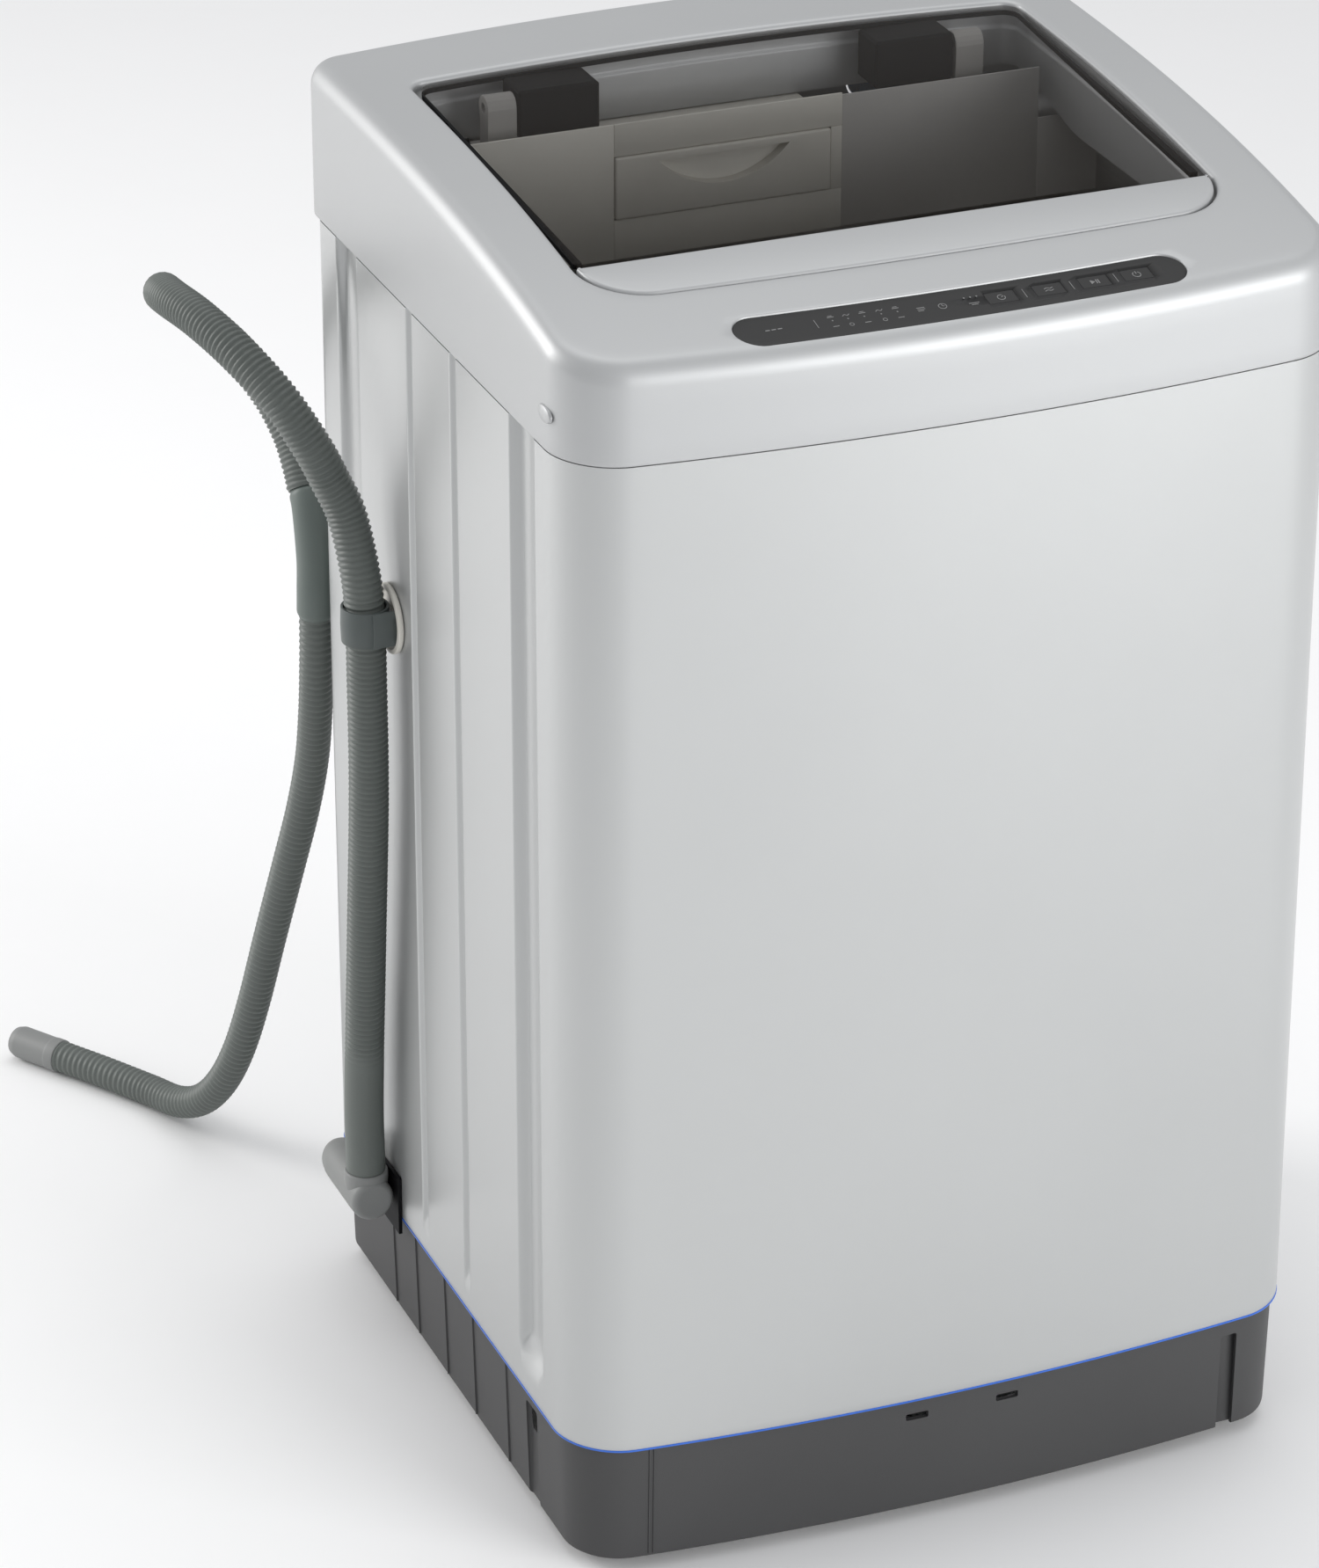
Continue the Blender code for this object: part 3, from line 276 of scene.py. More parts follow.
M = {
    "paint": material("paint_silver", (0.500, 0.509, 0.508), 0.32, 0.55, coat=0.15, spread=0.012,
                      grain=2600, bump=0.015, coat_rough=0.25),
    "deck": material("deck_silver", (0.470, 0.478, 0.482), 0.46, 0.45, coat=0.05, spread=0.012,
                     grain=2200, bump=0.02, coat_rough=0.25),
    "dark": material("base_plastic", (0.046, 0.046, 0.047), 0.52, spread=0.10, bump=0.12),
    "black": material("black_plastic", (0.006, 0.006, 0.007), 0.50, spread=0.15, bump=0.0,
                      specular=0.1),
    "panel": material("panel_lens", (0.017, 0.017, 0.017), 0.34, spread=0.06, grain=900, bump=0.0,
                      specular=0.25),
    "icon": material("icon_print", (0.20, 0.20, 0.20), 0.5, spread=0.10, grain=3000, bump=0.0),
    "smoke": material("smoked_lid", (0.016, 0.012, 0.008), 0.08, alpha=0.25, specular=0.12,
                      grain=400, bump=0.0, rough_spread=0.1),
    "grey": material("grey_plastic", (0.42, 0.41, 0.39), 0.5, spread=0.04),
    "white": material("white_plastic", (0.70, 0.68, 0.62), 0.42, spread=0.03, bump=0.04),
    "grip": material("grip_plastic", (0.86, 0.84, 0.78), 0.42, spread=0.03, bump=0.02),
    "tub": material("tub_plastic", (0.50, 0.49, 0.47), 0.5, grain=1200, bump=0.08),
    "steel": material("stainless", (0.58, 0.58, 0.58), 0.26, 1.0, grain=500, streak=(1, 1, 0.02),
                      rough_spread=0.15),
    "zinc": material("zinc_steel", (0.46, 0.46, 0.45), 0.38, 1.0, spread=0.12, grain=600,
                     mottle=30),
    "cast": material("cast_metal", (0.50, 0.50, 0.50), 0.5, 1.0, spread=0.10, grain=900, bump=0.25,
                     mottle=20),
    "hose": material("hose_plastic", (0.125, 0.140, 0.130), 0.46, spread=0.07, grain=900,
                     mottle=12),
    "cuff": material("cuff_plastic", (0.125, 0.150, 0.139), 0.46, grain=1200),
    "clip": material("clip_plastic", (0.085, 0.100, 0.097), 0.50, grain=1200),
    "end": material("end_plastic", (0.230, 0.236, 0.232), 0.52, grain=1400, bump=0.08),
    "rubber": material("rubber", (0.022, 0.022, 0.022), 0.75, spread=0.15, grain=1200, bump=0.15),
    "motor": material("motor_enamel", (0.060, 0.066, 0.072), 0.42, 0.3, spread=0.10, grain=900,
                      bump=0.10),
    "blue": material("blue_plastic", (0.05, 0.16, 0.35), 0.42, spread=0.08, bump=0.06),
    "film": material("blue_film", (0.030, 0.130, 0.560), 0.30, spread=0.08, grain=900, bump=0.0),
    "mesh": material("filter_net", (0.50, 0.52, 0.54), 0.6, spread=0.25, grain=1600, bump=0.6),
}


# -------- shared outlines and surfaces
def deck_z(x, y):
    """Height of the deck's upper face: it falls toward the front and is crowned across."""
    run = max(0.0, DECK_BACK - y) / DECK_RUN
    crown = CROWN_BACK - CROWN_LOSS * min(run, 1.0)
    return DECK_Z - DECK_DROP * run ** 2.7 + crown * (1 - (x / HALF_W) ** 2)


def rounded(half_w, front, back, front_r, back_r, sides, bow, bow_w, n_front=40, n_back=14,
            n_arc=14):
    """Closed outline with a bowed front. Each row of sides is a y and its distance inward."""
    pts = arc(-half_w + front_r, front + front_r, front_r, 180, 270, n_arc)
    left, right = -half_w + front_r, half_w - front_r
    pts += [(left + (right - left) * i / (n_front + 1), front) for i in range(1, n_front + 1)]
    pts += arc(half_w - front_r, front + front_r, front_r, 270, 360, n_arc)
    pts += [(half_w - d, y) for y, d in sides]
    pts += arc(half_w - back_r, back - back_r, back_r, 0, 90, n_arc)
    left, right = -half_w + back_r, half_w - back_r
    pts += [(right + (left - right) * i / (n_back + 1), back) for i in range(1, n_back + 1)]
    pts += arc(-half_w + back_r, back - back_r, back_r, 90, 180, n_arc)
    pts += [(-half_w + d, y) for y, d in reversed(sides)]
    edge = front + front_r
    return [(x, y - bow * (1 - (x / bow_w) ** 2) * clamp01(y / edge)) for x, y in pts]


def body_outline(inset, back, sides):
    return rounded(HALF_W - inset, FRONT_Y + inset, back - inset, FRONT_R - inset, BACK_R - inset,
                   sides, BOW, HALF_W)


def deck_outline(inset):
    return body_outline(inset, DECK_BACK, [(-0.185 + 0.02 * i, 0.0) for i in range(20)])


def lid_outline(grow):
    return rounded(LID_HALF_W + grow, LID_FRONT - grow, LID_BACK + grow, LID_FRONT_R + grow,
                   LID_BACK_R + grow,
                   [(-0.120 + 0.013 * i, 0.0) for i in range(20)], LID_BOW, LID_HALF_W)


def flat(outline, z):
    return [(x, y, z) for x, y in outline]


def on_deck(outline, drop):
    return [(x, y, deck_z(x, y) - drop) for x, y in outline]


def mix(a, b, t):
    return [(p[0] + (q[0] - p[0]) * t, p[1] + (q[1] - p[1]) * t) for p, q in zip(a, b)]


# -------- camera, hoses and outlet
def camera():
    data = bpy.data.cameras.new("camera")
    data.lens, data.sensor_width = 138.5, 36.0
    data.clip_start, data.clip_end = 0.1, 100
    cam = bpy.data.objects.new("camera", data)
    bpy.context.collection.objects.link(cam)
    az, el = math.radians(-22.04), math.radians(26.48)
    back = Vector((math.sin(az) * math.cos(el), -math.cos(az) * math.cos(el), math.sin(el)))
    cam.rotation_mode = "QUATERNION"
    cam.rotation_quaternion = (-back).to_track_quat("-Z", "Y")
    cam.location = Vector((-0.1052, 0.0, 0.4436)) + SHIFT + back * 3.9729
    bpy.context.scene.camera = cam


def frames_along(path):
    """A frame that doesn't twist at each point of the path."""
    side = Vector((1, 0, 0))
    out = []
    for i, p in enumerate(path):
        tangent = (path[min(i + 1, len(path) - 1)] - path[max(i - 1, 0)]).normalized()
        side = (side - tangent * side.dot(tangent)).normalized()
        out.append((p, side, tangent.cross(side)))
    return out


def tube_along(bm, path, radius_at, sides):
    """Tube whose radius is a function of the distance run."""
    loops = []
    run = 0.0
    for i, (p, u, v) in enumerate(frames_along(path)):
        if i:
            run += (p - path[i - 1]).length
        loops.append([p + u * x + v * y for x, y in circle(radius_at(run), sides)])
    skin(bm, loops, caps=True)


CLIP = (HOSE_X, 0.082, 0.556)
UP = [(HOSE_X, 0.108, 0.1318), (HOSE_X, 0.108, 0.190), (HOSE_X, 0.095, 0.315),
      (HOSE_X, 0.083, 0.432),
      (HOSE_X, 0.0815, 0.520), CLIP, (-0.2803, 0.0850, 0.588), (-0.2845, 0.0965, 0.626),
      (-0.293, 0.1035, 0.650),
      (-0.304, 0.109, 0.675), (-0.3205, 0.124, 0.705), (-0.338, 0.153, 0.728),
      (-0.3505, 0.190, 0.739),
      (-0.3555, 0.2315, 0.738), (-0.3495, 0.271, 0.7275), (-0.334, 0.3015, 0.7085),
      (-0.310, 0.319, 0.6845),
      (-0.284, 0.320, 0.656), (-0.2655, 0.3065, 0.627), (-0.2575, 0.289, 0.604),
      (-0.2557, 0.274, 0.585),
      (-0.2559, 0.265, 0.573)]
CUFF = [UP[-1], (-0.2561, 0.2566, 0.5618), (-0.2573, 0.2455, 0.530), (-0.2590, 0.2410, 0.509),
        (-0.2590, 0.2420, 0.489)]
DOWN = [CUFF[-1], (-0.2590, 0.2430, 0.469), (-0.2588, 0.2455, 0.448), (-0.2575, 0.254, 0.412),
        (-0.2565, 0.2675, 0.369), (-0.259, 0.283, 0.323), (-0.265, 0.3015, 0.270),
        (-0.2725, 0.3245, 0.205), (-0.2795, 0.3475, 0.140), (-0.286, 0.3665, 0.093),
        (-0.2935, 0.386, 0.058), (-0.302, 0.409, 0.033), (-0.3115, 0.437, 0.0185),
        (-0.323, 0.470, 0.0132), (-0.346, 0.510, 0.0126), (-0.373, 0.552, 0.0126)]


def hose(name, route, radius, plain, node, pitch):
    """Corrugated hose: rounded ribs at a fine pitch, smoother over its first stretch."""
    path = smooth_path(route, pitch / 6)

    def radius_at(run):
        wave = 0.5 + 0.5 * math.cos(2 * math.pi * run / pitch)
        depth = 0.0014 * ease((run - plain) / 0.02)
        return radius - depth * (1 - wave ** 0.75)
    bm = bmesh.new()
    tube_along(bm, path, radius_at, 22)
    ob = make(name, bm, "hose", replaces=[node], angle=80)
    line = [p + SHIFT for p in smooth_path(route, 0.006)]


def along(start, end):
    """Matrix that puts local +Z on the line from start to end."""
    start, end = Vector(start), Vector(end)
    return Matrix.Translation(start) @ (end - start).to_track_quat("Z", "Y").to_matrix().to_4x4()


def drain_line():
    path = smooth_path(CUFF, 0.0015)
    total = sum((b - a).length for a, b in zip(path, path[1:]))

    def cuff_radius(run):
        return 0.0126 + 0.0008 * run / total - 0.0016 * (1 - ease(min(run, total - run) / 0.004))
    cuff = bmesh.new()
    tube_along(cuff, path, cuff_radius, 40)
    cuff_piece = make("cuff", cuff, "cuff", replaces=["hose_cuff"], angle=60)
    tip = Vector(DOWN[-1])
    line = tip - Vector(DOWN[-2])
    line.z = 0  # the end cap lies flat
    line.normalize()
    cap = bmesh.new()
    turned(cap, soft([(0, -0.008), (0.0126, -0.008), (0.0126, 0.0), (0.0122, 0.001),
                      (0.0122, 0.031), (0.0105, 0.036), (0.0075, 0.0375), (0.0068, 0.034),
                      (0, 0.034)], 0.001), 40, along(tip, tip + line))
    cap_piece = make("end_cap", cap, "end", replaces=["hose_end_cap"])
    hose("drain_hose_ribbed", UP, HOSE_R, 0.085, "drain_hose", 0.0040)
    hose("extension_hose_ribbed", DOWN, EXT_R, -0.03, "extension_hose", 0.0050)


def outlet():
    """Elbow beside the panel, the clip ring and its holder; the bracket is the CAD part, finished
    in fittings().
    """
    bm = bmesh.new()
    place = Matrix.Translation((HOSE_X, 0.092, 0.113)) @ Matrix.Rotation(math.radians(-90), 4, "X")
    turned(bm, soft([(0, 0), (0.0125, 0), (0.0152, 0.003), (0.0155, 0.010), (0.0155, 0.060),
                     (0.0140, 0.070), (0.0100, 0.077), (0.005, 0.080), (0, 0.080)], 0.003, 5), 40,
           place)
    turned(bm, soft([(0, -0.004), (0.0130, -0.004), (0.0148, 0.006), (0.0152, 0.012),
                     (0.0152, 0.0172), (0.0142, 0.0185), (0, 0.0185)], 0.0008), 40,
           Matrix.Translation((HOSE_X, 0.108, 0.113)))
    turned(bm, [(0, 0), (0.0108, 0), (0.0108, 0.1130), (0, 0.1130)], 24,
           along((HOSE_X, 0.125, 0.113), (-0.1655, 0.125, 0.113)))
    make("outlet", bm, "end", replaces=["outlet_elbow"])
    ring = bmesh.new()
    turned(ring, soft([(0.0142, -0.0125), (0.0160, -0.0125), (0.0164, 0), (0.0160, 0.0125),
                       (0.0142, 0.0125)], 0.0006, 3, True), 40, Matrix.Translation(CLIP))
    add_box(ring, (CLIP[0] - 0.0005, CLIP[1] - 0.0172, CLIP[2] - 0.0125),
            (CLIP[0] + 0.0162, CLIP[1] - 0.0148, CLIP[2] + 0.0125), 0.0008)
    make("clip_ring", ring, "clip", replaces=["hose_clip"])
    cup = bmesh.new()
    place = Matrix.Translation((-0.2603, CLIP[1], CLIP[2])) @ Matrix.Rotation(math.radians(-90), 4,
                                                                              "Y")
    turned(cup, soft([(0, 0), (0.0232, 0), (0.0240, 0.0012), (0.0236, 0.0036), (0.0205, 0.0042),
                      (0.0195, 0.0016), (0.0100, 0.0014), (0.0092, 0.0022), (0.0088, 0.0016),
                      (0, 0.0016)], 0.0006, 3), 48, place)
    make("clip_cup", cup, "white", replaces=["clip_holder"])


# -------- cabinet, rear cover, base
# front edge, rear edge, depth, front ramp, rear ramp
CHANNELS = ((-0.182, -0.138, 0.0080, 0.0140, 0.0035), (-0.046, -0.034, 0.0035, 0.0035, 0.0030),
            (0.034, 0.046, 0.0035, 0.0035, 0.0030), (0.138, 0.178, 0.0065, 0.0060, 0.0050))


def channel_depth(y, z):
    """Depth of the pressed channels, which have a rounded lower end."""
    depth = 0.0
    for low, high, deep, front, rear in CHANNELS:
        if low < y < high:
            half, mid = (high - low) / 2, (high + low) / 2
            end = 0.110 + half - math.sqrt(half * half - (y - mid) ** 2)
            depth = deep * min(ease((y - low) / front), ease((high - y) / rear),
                               ease((z - end) / 0.020))
    return depth


def side_points():
    ys = {-0.19, -0.128, -0.11, -0.085, -0.06, -0.02, 0.0, 0.02, 0.06, 0.085, 0.11, 0.128, 0.19}
    for low, high, _, front, rear in CHANNELS:
        ys |= {round(low + front * k / 5, 5) for k in range(6)}
        ys |= {round(high - rear * k / 5, 5) for k in range(6)}
        ys |= {round(low - 0.0008, 5), round(high + 0.0008, 5),
               round((low + front + high - rear) / 2, 5)}
    return sorted(ys)


def cabinet():
    ys = side_points()
    levels = [CAB_BOTTOM, CAB_BOTTOM + 0.0012] + [0.104 + 0.003 * i for i in range(13)]
    levels += [0.16, 0.25, 0.35, 0.45, 0.55, 0.65, 0.75, CAB_TOP + 0.0004]
    loops = []
    for inset, zs in ((0.0, levels), (SHEET, levels[::-1])):
        for z in zs:
            edge = 0.0004 if z == CAB_BOTTOM and not inset else 0.0
            loops.append(flat(body_outline(inset + edge, CAB_BACK,
                                           [(y, channel_depth(y, z)) for y in ys]), z))
    bm = bmesh.new()
    skin(bm, loops, wrap=True)
    for sx in (-1, 1):
        for y0, y1 in ((-0.2200, -0.165), (0.150, 0.2200)):
            x0, x1 = sorted((sx * 0.170, sx * 0.2480))
            add_box(bm, (x0, y0, 0.7545), (x1, y1, 0.7570), 0.0006)
    make("cabinet_shell", bm, "paint", replaces=["cabinet"], angle=50)
    film = bmesh.new()
    ys = [(y, 0.0) for y in ys]
    skin(film, [flat(body_outline(i, CAB_BACK, ys), z) for i, z in
                ((0.0010, BASE_TOP + 0.0001), (-0.0003, BASE_TOP + 0.0002),
                 (-0.0004, CAB_BOTTOM + 0.0008), (0.0001, CAB_BOTTOM + 0.0011),
                 (0.0010, CAB_BOTTOM + 0.0011))], wrap=True)
    make("film_edge", film, "film")


def rear_cover():
    """Pressed tray with two long beads and vents, held by screws."""
    def ring(grow, y):
        pts = []
        for x, z, start in ((-0.226, 0.118, 180), (0.226, 0.118, 270), (0.226, 0.7735, 0),
                            (-0.226, 0.7735, 90)):
            pts += arc(x, z, 0.012 + grow, start, start + 90, 8)
        return [(x, y, z) for x, z in pts]
    bm = bmesh.new()
    skin(bm, [ring(-0.001, CAB_BACK + 0.0003), ring(0.0, CAB_BACK + 0.0003), ring(0.0, 0.2355),
              ring(-0.0006, 0.2370), ring(-0.0022, 0.2379), ring(-0.006, 0.2380)], caps=True)
    tray = make("rear_tray", bm, "paint", replaces=["rear_cover"])
    cutter = bmesh.new()
    for x in (-0.12, 0.12):
        for k in range(6):
            z = 0.585 + 0.013 * k
            add_box(cutter, (x - 0.032, 0.2360, z), (x + 0.032, 0.2450, z + 0.005), 0.0022, 3)
    for x in (-0.150, 0.0, 0.150):
        add_box(cutter, (x - 0.050, 0.2368, 0.16), (x + 0.050, 0.2480, 0.54), 0.0055, 4)
    carve(tray, cutter)
    screws = bmesh.new()
    for x in (-0.214, 0.0, 0.214):
        for z in (0.130, 0.445, 0.762):
            add_screw(screws, (x, 0.2379, z), (0, 1, 0), 0.0042)
    make("rear_screws", screws, "zinc")


def add_screw(bm, where, axis, radius):
    """Pan head with a cross recess."""
    place = along(where, Vector(where) + Vector(axis))
    turned(bm, soft([(0, -0.001), (radius, -0.001), (radius, 0.0008), (radius * 0.75, 0.0018),
                     (radius * 0.3, 0.0021), (0, 0.0021)], 0.0004, 2), 20, place)
    for a in (0, 90):
        add_box(bm, (-radius * 0.55, -radius * 0.10, 0.0019),
                (radius * 0.55, radius * 0.10, 0.00225),
                turn=place @ Matrix.Rotation(math.radians(a), 4, "Z"))


def base():
    ys = [(y, 0.0) for y in side_points()]
    bm = bmesh.new()
    rows = ((0.0072, 0.0110), (0.0064, 0.0116), (0.0060, 0.0135), (0.0040, 0.0900),
            (0.0040, BASE_TOP - 0.001), (0.0048, BASE_TOP), (0.0070, BASE_TOP), (0.0095, 0.0110))
    skin(bm, [flat(body_outline(d, CAB_BACK, ys), z) for d, z in rows], wrap=True)
    ob = make("base_ring", bm, "dark", replaces=["base"], angle=30)
    cutter = bmesh.new()
    add_box(cutter, (-0.266, -0.158, 0.004), (-0.2520, -0.138, 0.084), 0.003, 3)
    add_box(cutter, (0.252, -0.158, 0.004), (0.266, -0.138, 0.084), 0.003, 3)
    for x0, x1 in ((-0.033, -0.017), (0.032, 0.048)):
        add_box(cutter, (x0, -0.27, 0.0800), (x1, -0.248, 0.0850), 0.001)
    add_box(cutter, (0.2025, -0.27, 0.004), (0.2150, -0.2330, 0.084), 0.002, 3)
    carve(ob, cutter, 30)
    ribs = bmesh.new()
    for sx in (-1, 1):
        for y in (0.119, 0.073, 0.016, -0.039, -0.102):
            loops = []
            for z, step in ((0.0135, 0.0), (0.0900, 0.0019), (0.0955, 0.0019)):
                x = sx * (HALF_W - 0.0058 + step)
                root, tip = x - sx * 0.001, x + sx * 0.0009
                loops.append([(root, y - 0.0011, z), (tip, y - 0.0004, z), (tip, y + 0.0004, z),
                              (root, y + 0.0011, z)])
            skin(ribs, loops, caps=True)
    for x in (-0.2065, -0.2095):
        loops = []
        for z, inset in ((0.0135, 0.0060), (0.0900, 0.0040), (0.0955, 0.0040)):
            y = front_at(x, inset)
            loops.append([(x - 0.0007, y + 0.001, z), (x - 0.0003, y - 0.0007, z),
                          (x + 0.0003, y - 0.0007, z), (x + 0.0007, y + 0.001, z)])
        skin(ribs, loops, caps=True)
    make("base_ribs", ribs, "dark")
    plates = bmesh.new()
    for x0, x1, y0, y1 in ((-0.247, -0.180, -0.217, -0.155), (-0.247, -0.180, 0.145, 0.2150),
                           (0.180, 0.247, 0.145, 0.2150)):
        add_box(plates, (x0, y0, 0.0220), (x1, y1, 0.0290), 0.0015)
    add_box(plates, (0.2005, -0.2345, 0.0120), (0.2170, -0.2330, 0.0900), 0.0003)
    make("base_plates", plates, "dark")


def front_at(x, inset):
    """Y of the cabinet's front at x."""
    edge = FRONT_Y + FRONT_R
    half, r, y = HALF_W - inset, FRONT_R - inset, FRONT_Y + inset
    over = abs(x) - (half - r)
    if over > 0:
        y = edge - math.sqrt(max(0.0, r * r - over * over))
    return y - BOW * (1 - (x / HALF_W) ** 2) * clamp01(y / edge)


def feet():
    for name, sx, y in (("foot_front_left", -1, -0.188), ("foot_rear_left", -1, 0.183),
                        ("foot_rear_right", 1, 0.183), ("adjustable_foot", 1, -0.188)):
        tall = name == "adjustable_foot"
        body, at = name if tall else ROOT, (sx * 0.213, y, 0)
        bm = bmesh.new()
        turned(bm, soft([(0, 0), (0.0195, 0), (0.0220, 0.0018), (0.0222, 0.0045), (0.0212, 0.0060),
                         (0.0218, 0.0075), (0.0210, 0.0105), (0.0150, 0.0135), (0.0090, 0.0150),
                         (0.0090, 0.0200), (0, 0.0200)], 0.0008, 3), 40)
        make(name + "_pad", bm, "rubber", body, [name], at=at)
        bolt = bmesh.new()
        top = 0.052 if tall else 0.034
        profile = [(0, 0.012), (0.0048, 0.012)]
        z = 0.0215
        while z < top - 0.002:
            profile += [(0.0044, z), (0.0050, z + 0.0006)]
            z += 0.0012
        turned(bolt, profile + [(0.0044, top), (0, top)], 20)
        make(name + "_bolt", bolt, "zinc", body, angle=60, at=at)


# -------- deck
def pill_y(x):
    """Middle line of the control strip, bowed like the front."""
    return PILL_Y - PILL_BOW * (1 - (x / PILL_HALF) ** 2)


def pill_outline(grow, count=18, straight=28):
    """Closed stadium round the strip's bowed middle line."""
    r, half = PILL_R + grow, PILL_HALF + grow
    pts = arc(half - r, 0, r, -90, 90, count)
    pts += [(half - r - 2 * (half - r) * i / (straight + 1), r) for i in range(1, straight + 1)]
    pts += arc(-half + r, 0, r, 90, 270, count)
    pts += [(-half + r + 2 * (half - r) * i / (straight + 1), -r) for i in range(1, straight + 1)]
    return [(x, y + pill_y(min(max(x, -PILL_HALF), PILL_HALF))) for x, y in pts]


def deck():
    """Top frame: side wall, rounded shoulder, crowned top, rolled rim and the opening's skirt."""
    def skirt(outline):
        return [(x, y, 0.832 + 0.0175 * ease((y - 0.05) / 0.09)) for x, y in outline]
    outer = [flat(deck_outline(inset), SEAM + rise)
             for inset, rise in ((0.0005, 0), (0.0001, 0.0004), (0, 0.0016))]
    low, shoulder, roll = SEAM + 0.0016, 0.0115, 0.0036
    outer += [[(x, y, low + (deck_z(x, y) - 0.014 - low) * t) for x, y in deck_outline(0)]
              for t in (0.25, 0.5, 0.75, 1.0)]
    for a in range(1, 9):
        t = math.radians(90 * a / 8)
        outer.append(on_deck(deck_outline(shoulder * (1 - math.cos(t))),
                             0.0140 * (1 - math.sin(t))))
    top, rim = deck_outline(shoulder), lid_outline(roll)
    outer += [on_deck(mix(top, rim, k / 10), 0.0) for k in range(1, 11)]
    for a in range(1, 6):
        t = math.radians(90 * a / 5)
        outer.append(on_deck(lid_outline(roll - roll * math.sin(t)), 0.0032 * (1 - math.cos(t))))
    outer += [on_deck(lid_outline(grow), drop) for grow, drop in
              ((0, 0.010), (-0.0002, 0.0150), (-0.0005, 0.0166), (-0.0012, 0.0176),
               (-0.0015, 0.0190))]
    inner = [skirt(lid_outline(-0.0015)), skirt(lid_outline(0.0015))]
    inner += [on_deck(lid_outline(grow), drop) for grow, drop in
              ((0.0015, 0.0200), (0.0035, 0.0185), (0.0045, 0.005), (0.006, DECK_T))]
    inner += [on_deck(mix(lid_outline(0.006), deck_outline(0.0125), k / 5), DECK_T)
              for k in range(1, 6)]
    inner += [on_deck(deck_outline(0.006), 0.0065), on_deck(deck_outline(DECK_T), 0.0140),
              flat(deck_outline(DECK_T), SEAM)]
    bm = bmesh.new()
    skin(bm, outer + inner, wrap=True)
    ob = make("deck_cover", bm, "deck", replaces=["top_frame"], angle=40)
    cutter = bmesh.new()
    skin(cutter, [on_deck(pill_outline(grow), drop) for grow, drop in
                  ((0.0003, 0.02), (0.0003, 0.0006), (0.0006, 0.0001), (0.0011, -0.0003),
                   (0.0020, -0.0006), (0.0020, -0.01))], caps=True)
    carve(ob, cutter)
    rear = bmesh.new()
    for (x, z), r in ((INLET, 0.0142), (GLAND, 0.0085)):
        turned(rear, [(0, 0), (r, 0), (r, 0.04), (0, 0.04)], 32, along((x, 0.21, z), (x, 0.25, z)))
    carve(ob, rear, 40)
    cap = bmesh.new()
    place = Matrix.Translation((-HALF_W, -0.2005, 0.8115)) @ Matrix.Rotation(math.radians(-90), 4,
                                                                             "Y") \
        @ Matrix.Diagonal((0.55, 1.0, 1.0, 1.0))
    turned(cap, [(0, -0.001), (0.0100, -0.001), (0.0100, 0.0), (0.0092, 0.0010), (0.0070, 0.0016),
                 (0.0035, 0.0019), (0, 0.0020)], 40, place)
    make("side_screw_cap", cap, "deck")


KEY_X = {"programme_key": 0.0240, "water_key": 0.0560, "start_key": 0.0870, "power_key": 0.1160}


def mark(bm, x, dy, outlines, drop=0.00078, thick=0.00012):
    """Printed mark: closed outlines in millimetres about (x, dy), laid on the strip."""
    for pts in outlines:
        line = [(x + px * 0.001, pill_y(x) + dy + py * 0.001) for px, py in pts]
        skin(bm, [on_deck(line, drop), on_deck(line, drop - thick)], caps=True)


def bars(w, *lines):
    """Strokes of width w; each line is x0, y0, x1, y1."""
    out = []
    for x0, y0, x1, y1 in lines:
        n = Vector((y0 - y1, x1 - x0)).normalized() * w / 2
        out.append([(x0 - n.x, y0 - n.y), (x1 - n.x, y1 - n.y), (x1 + n.x, y1 + n.y),
                    (x0 + n.x, y0 + n.y)])
    return out


def ring_marks(r, w, start=0, end=360, count=16):
    """Arc stroke from radius r to r + w, in short quads."""
    inner, outer = (arc(0, 0, radius, start, end, count) for radius in (r, r + w))
    return [[inner[i], outer[i], outer[i + 1], inner[i + 1]] for i in range(count)]


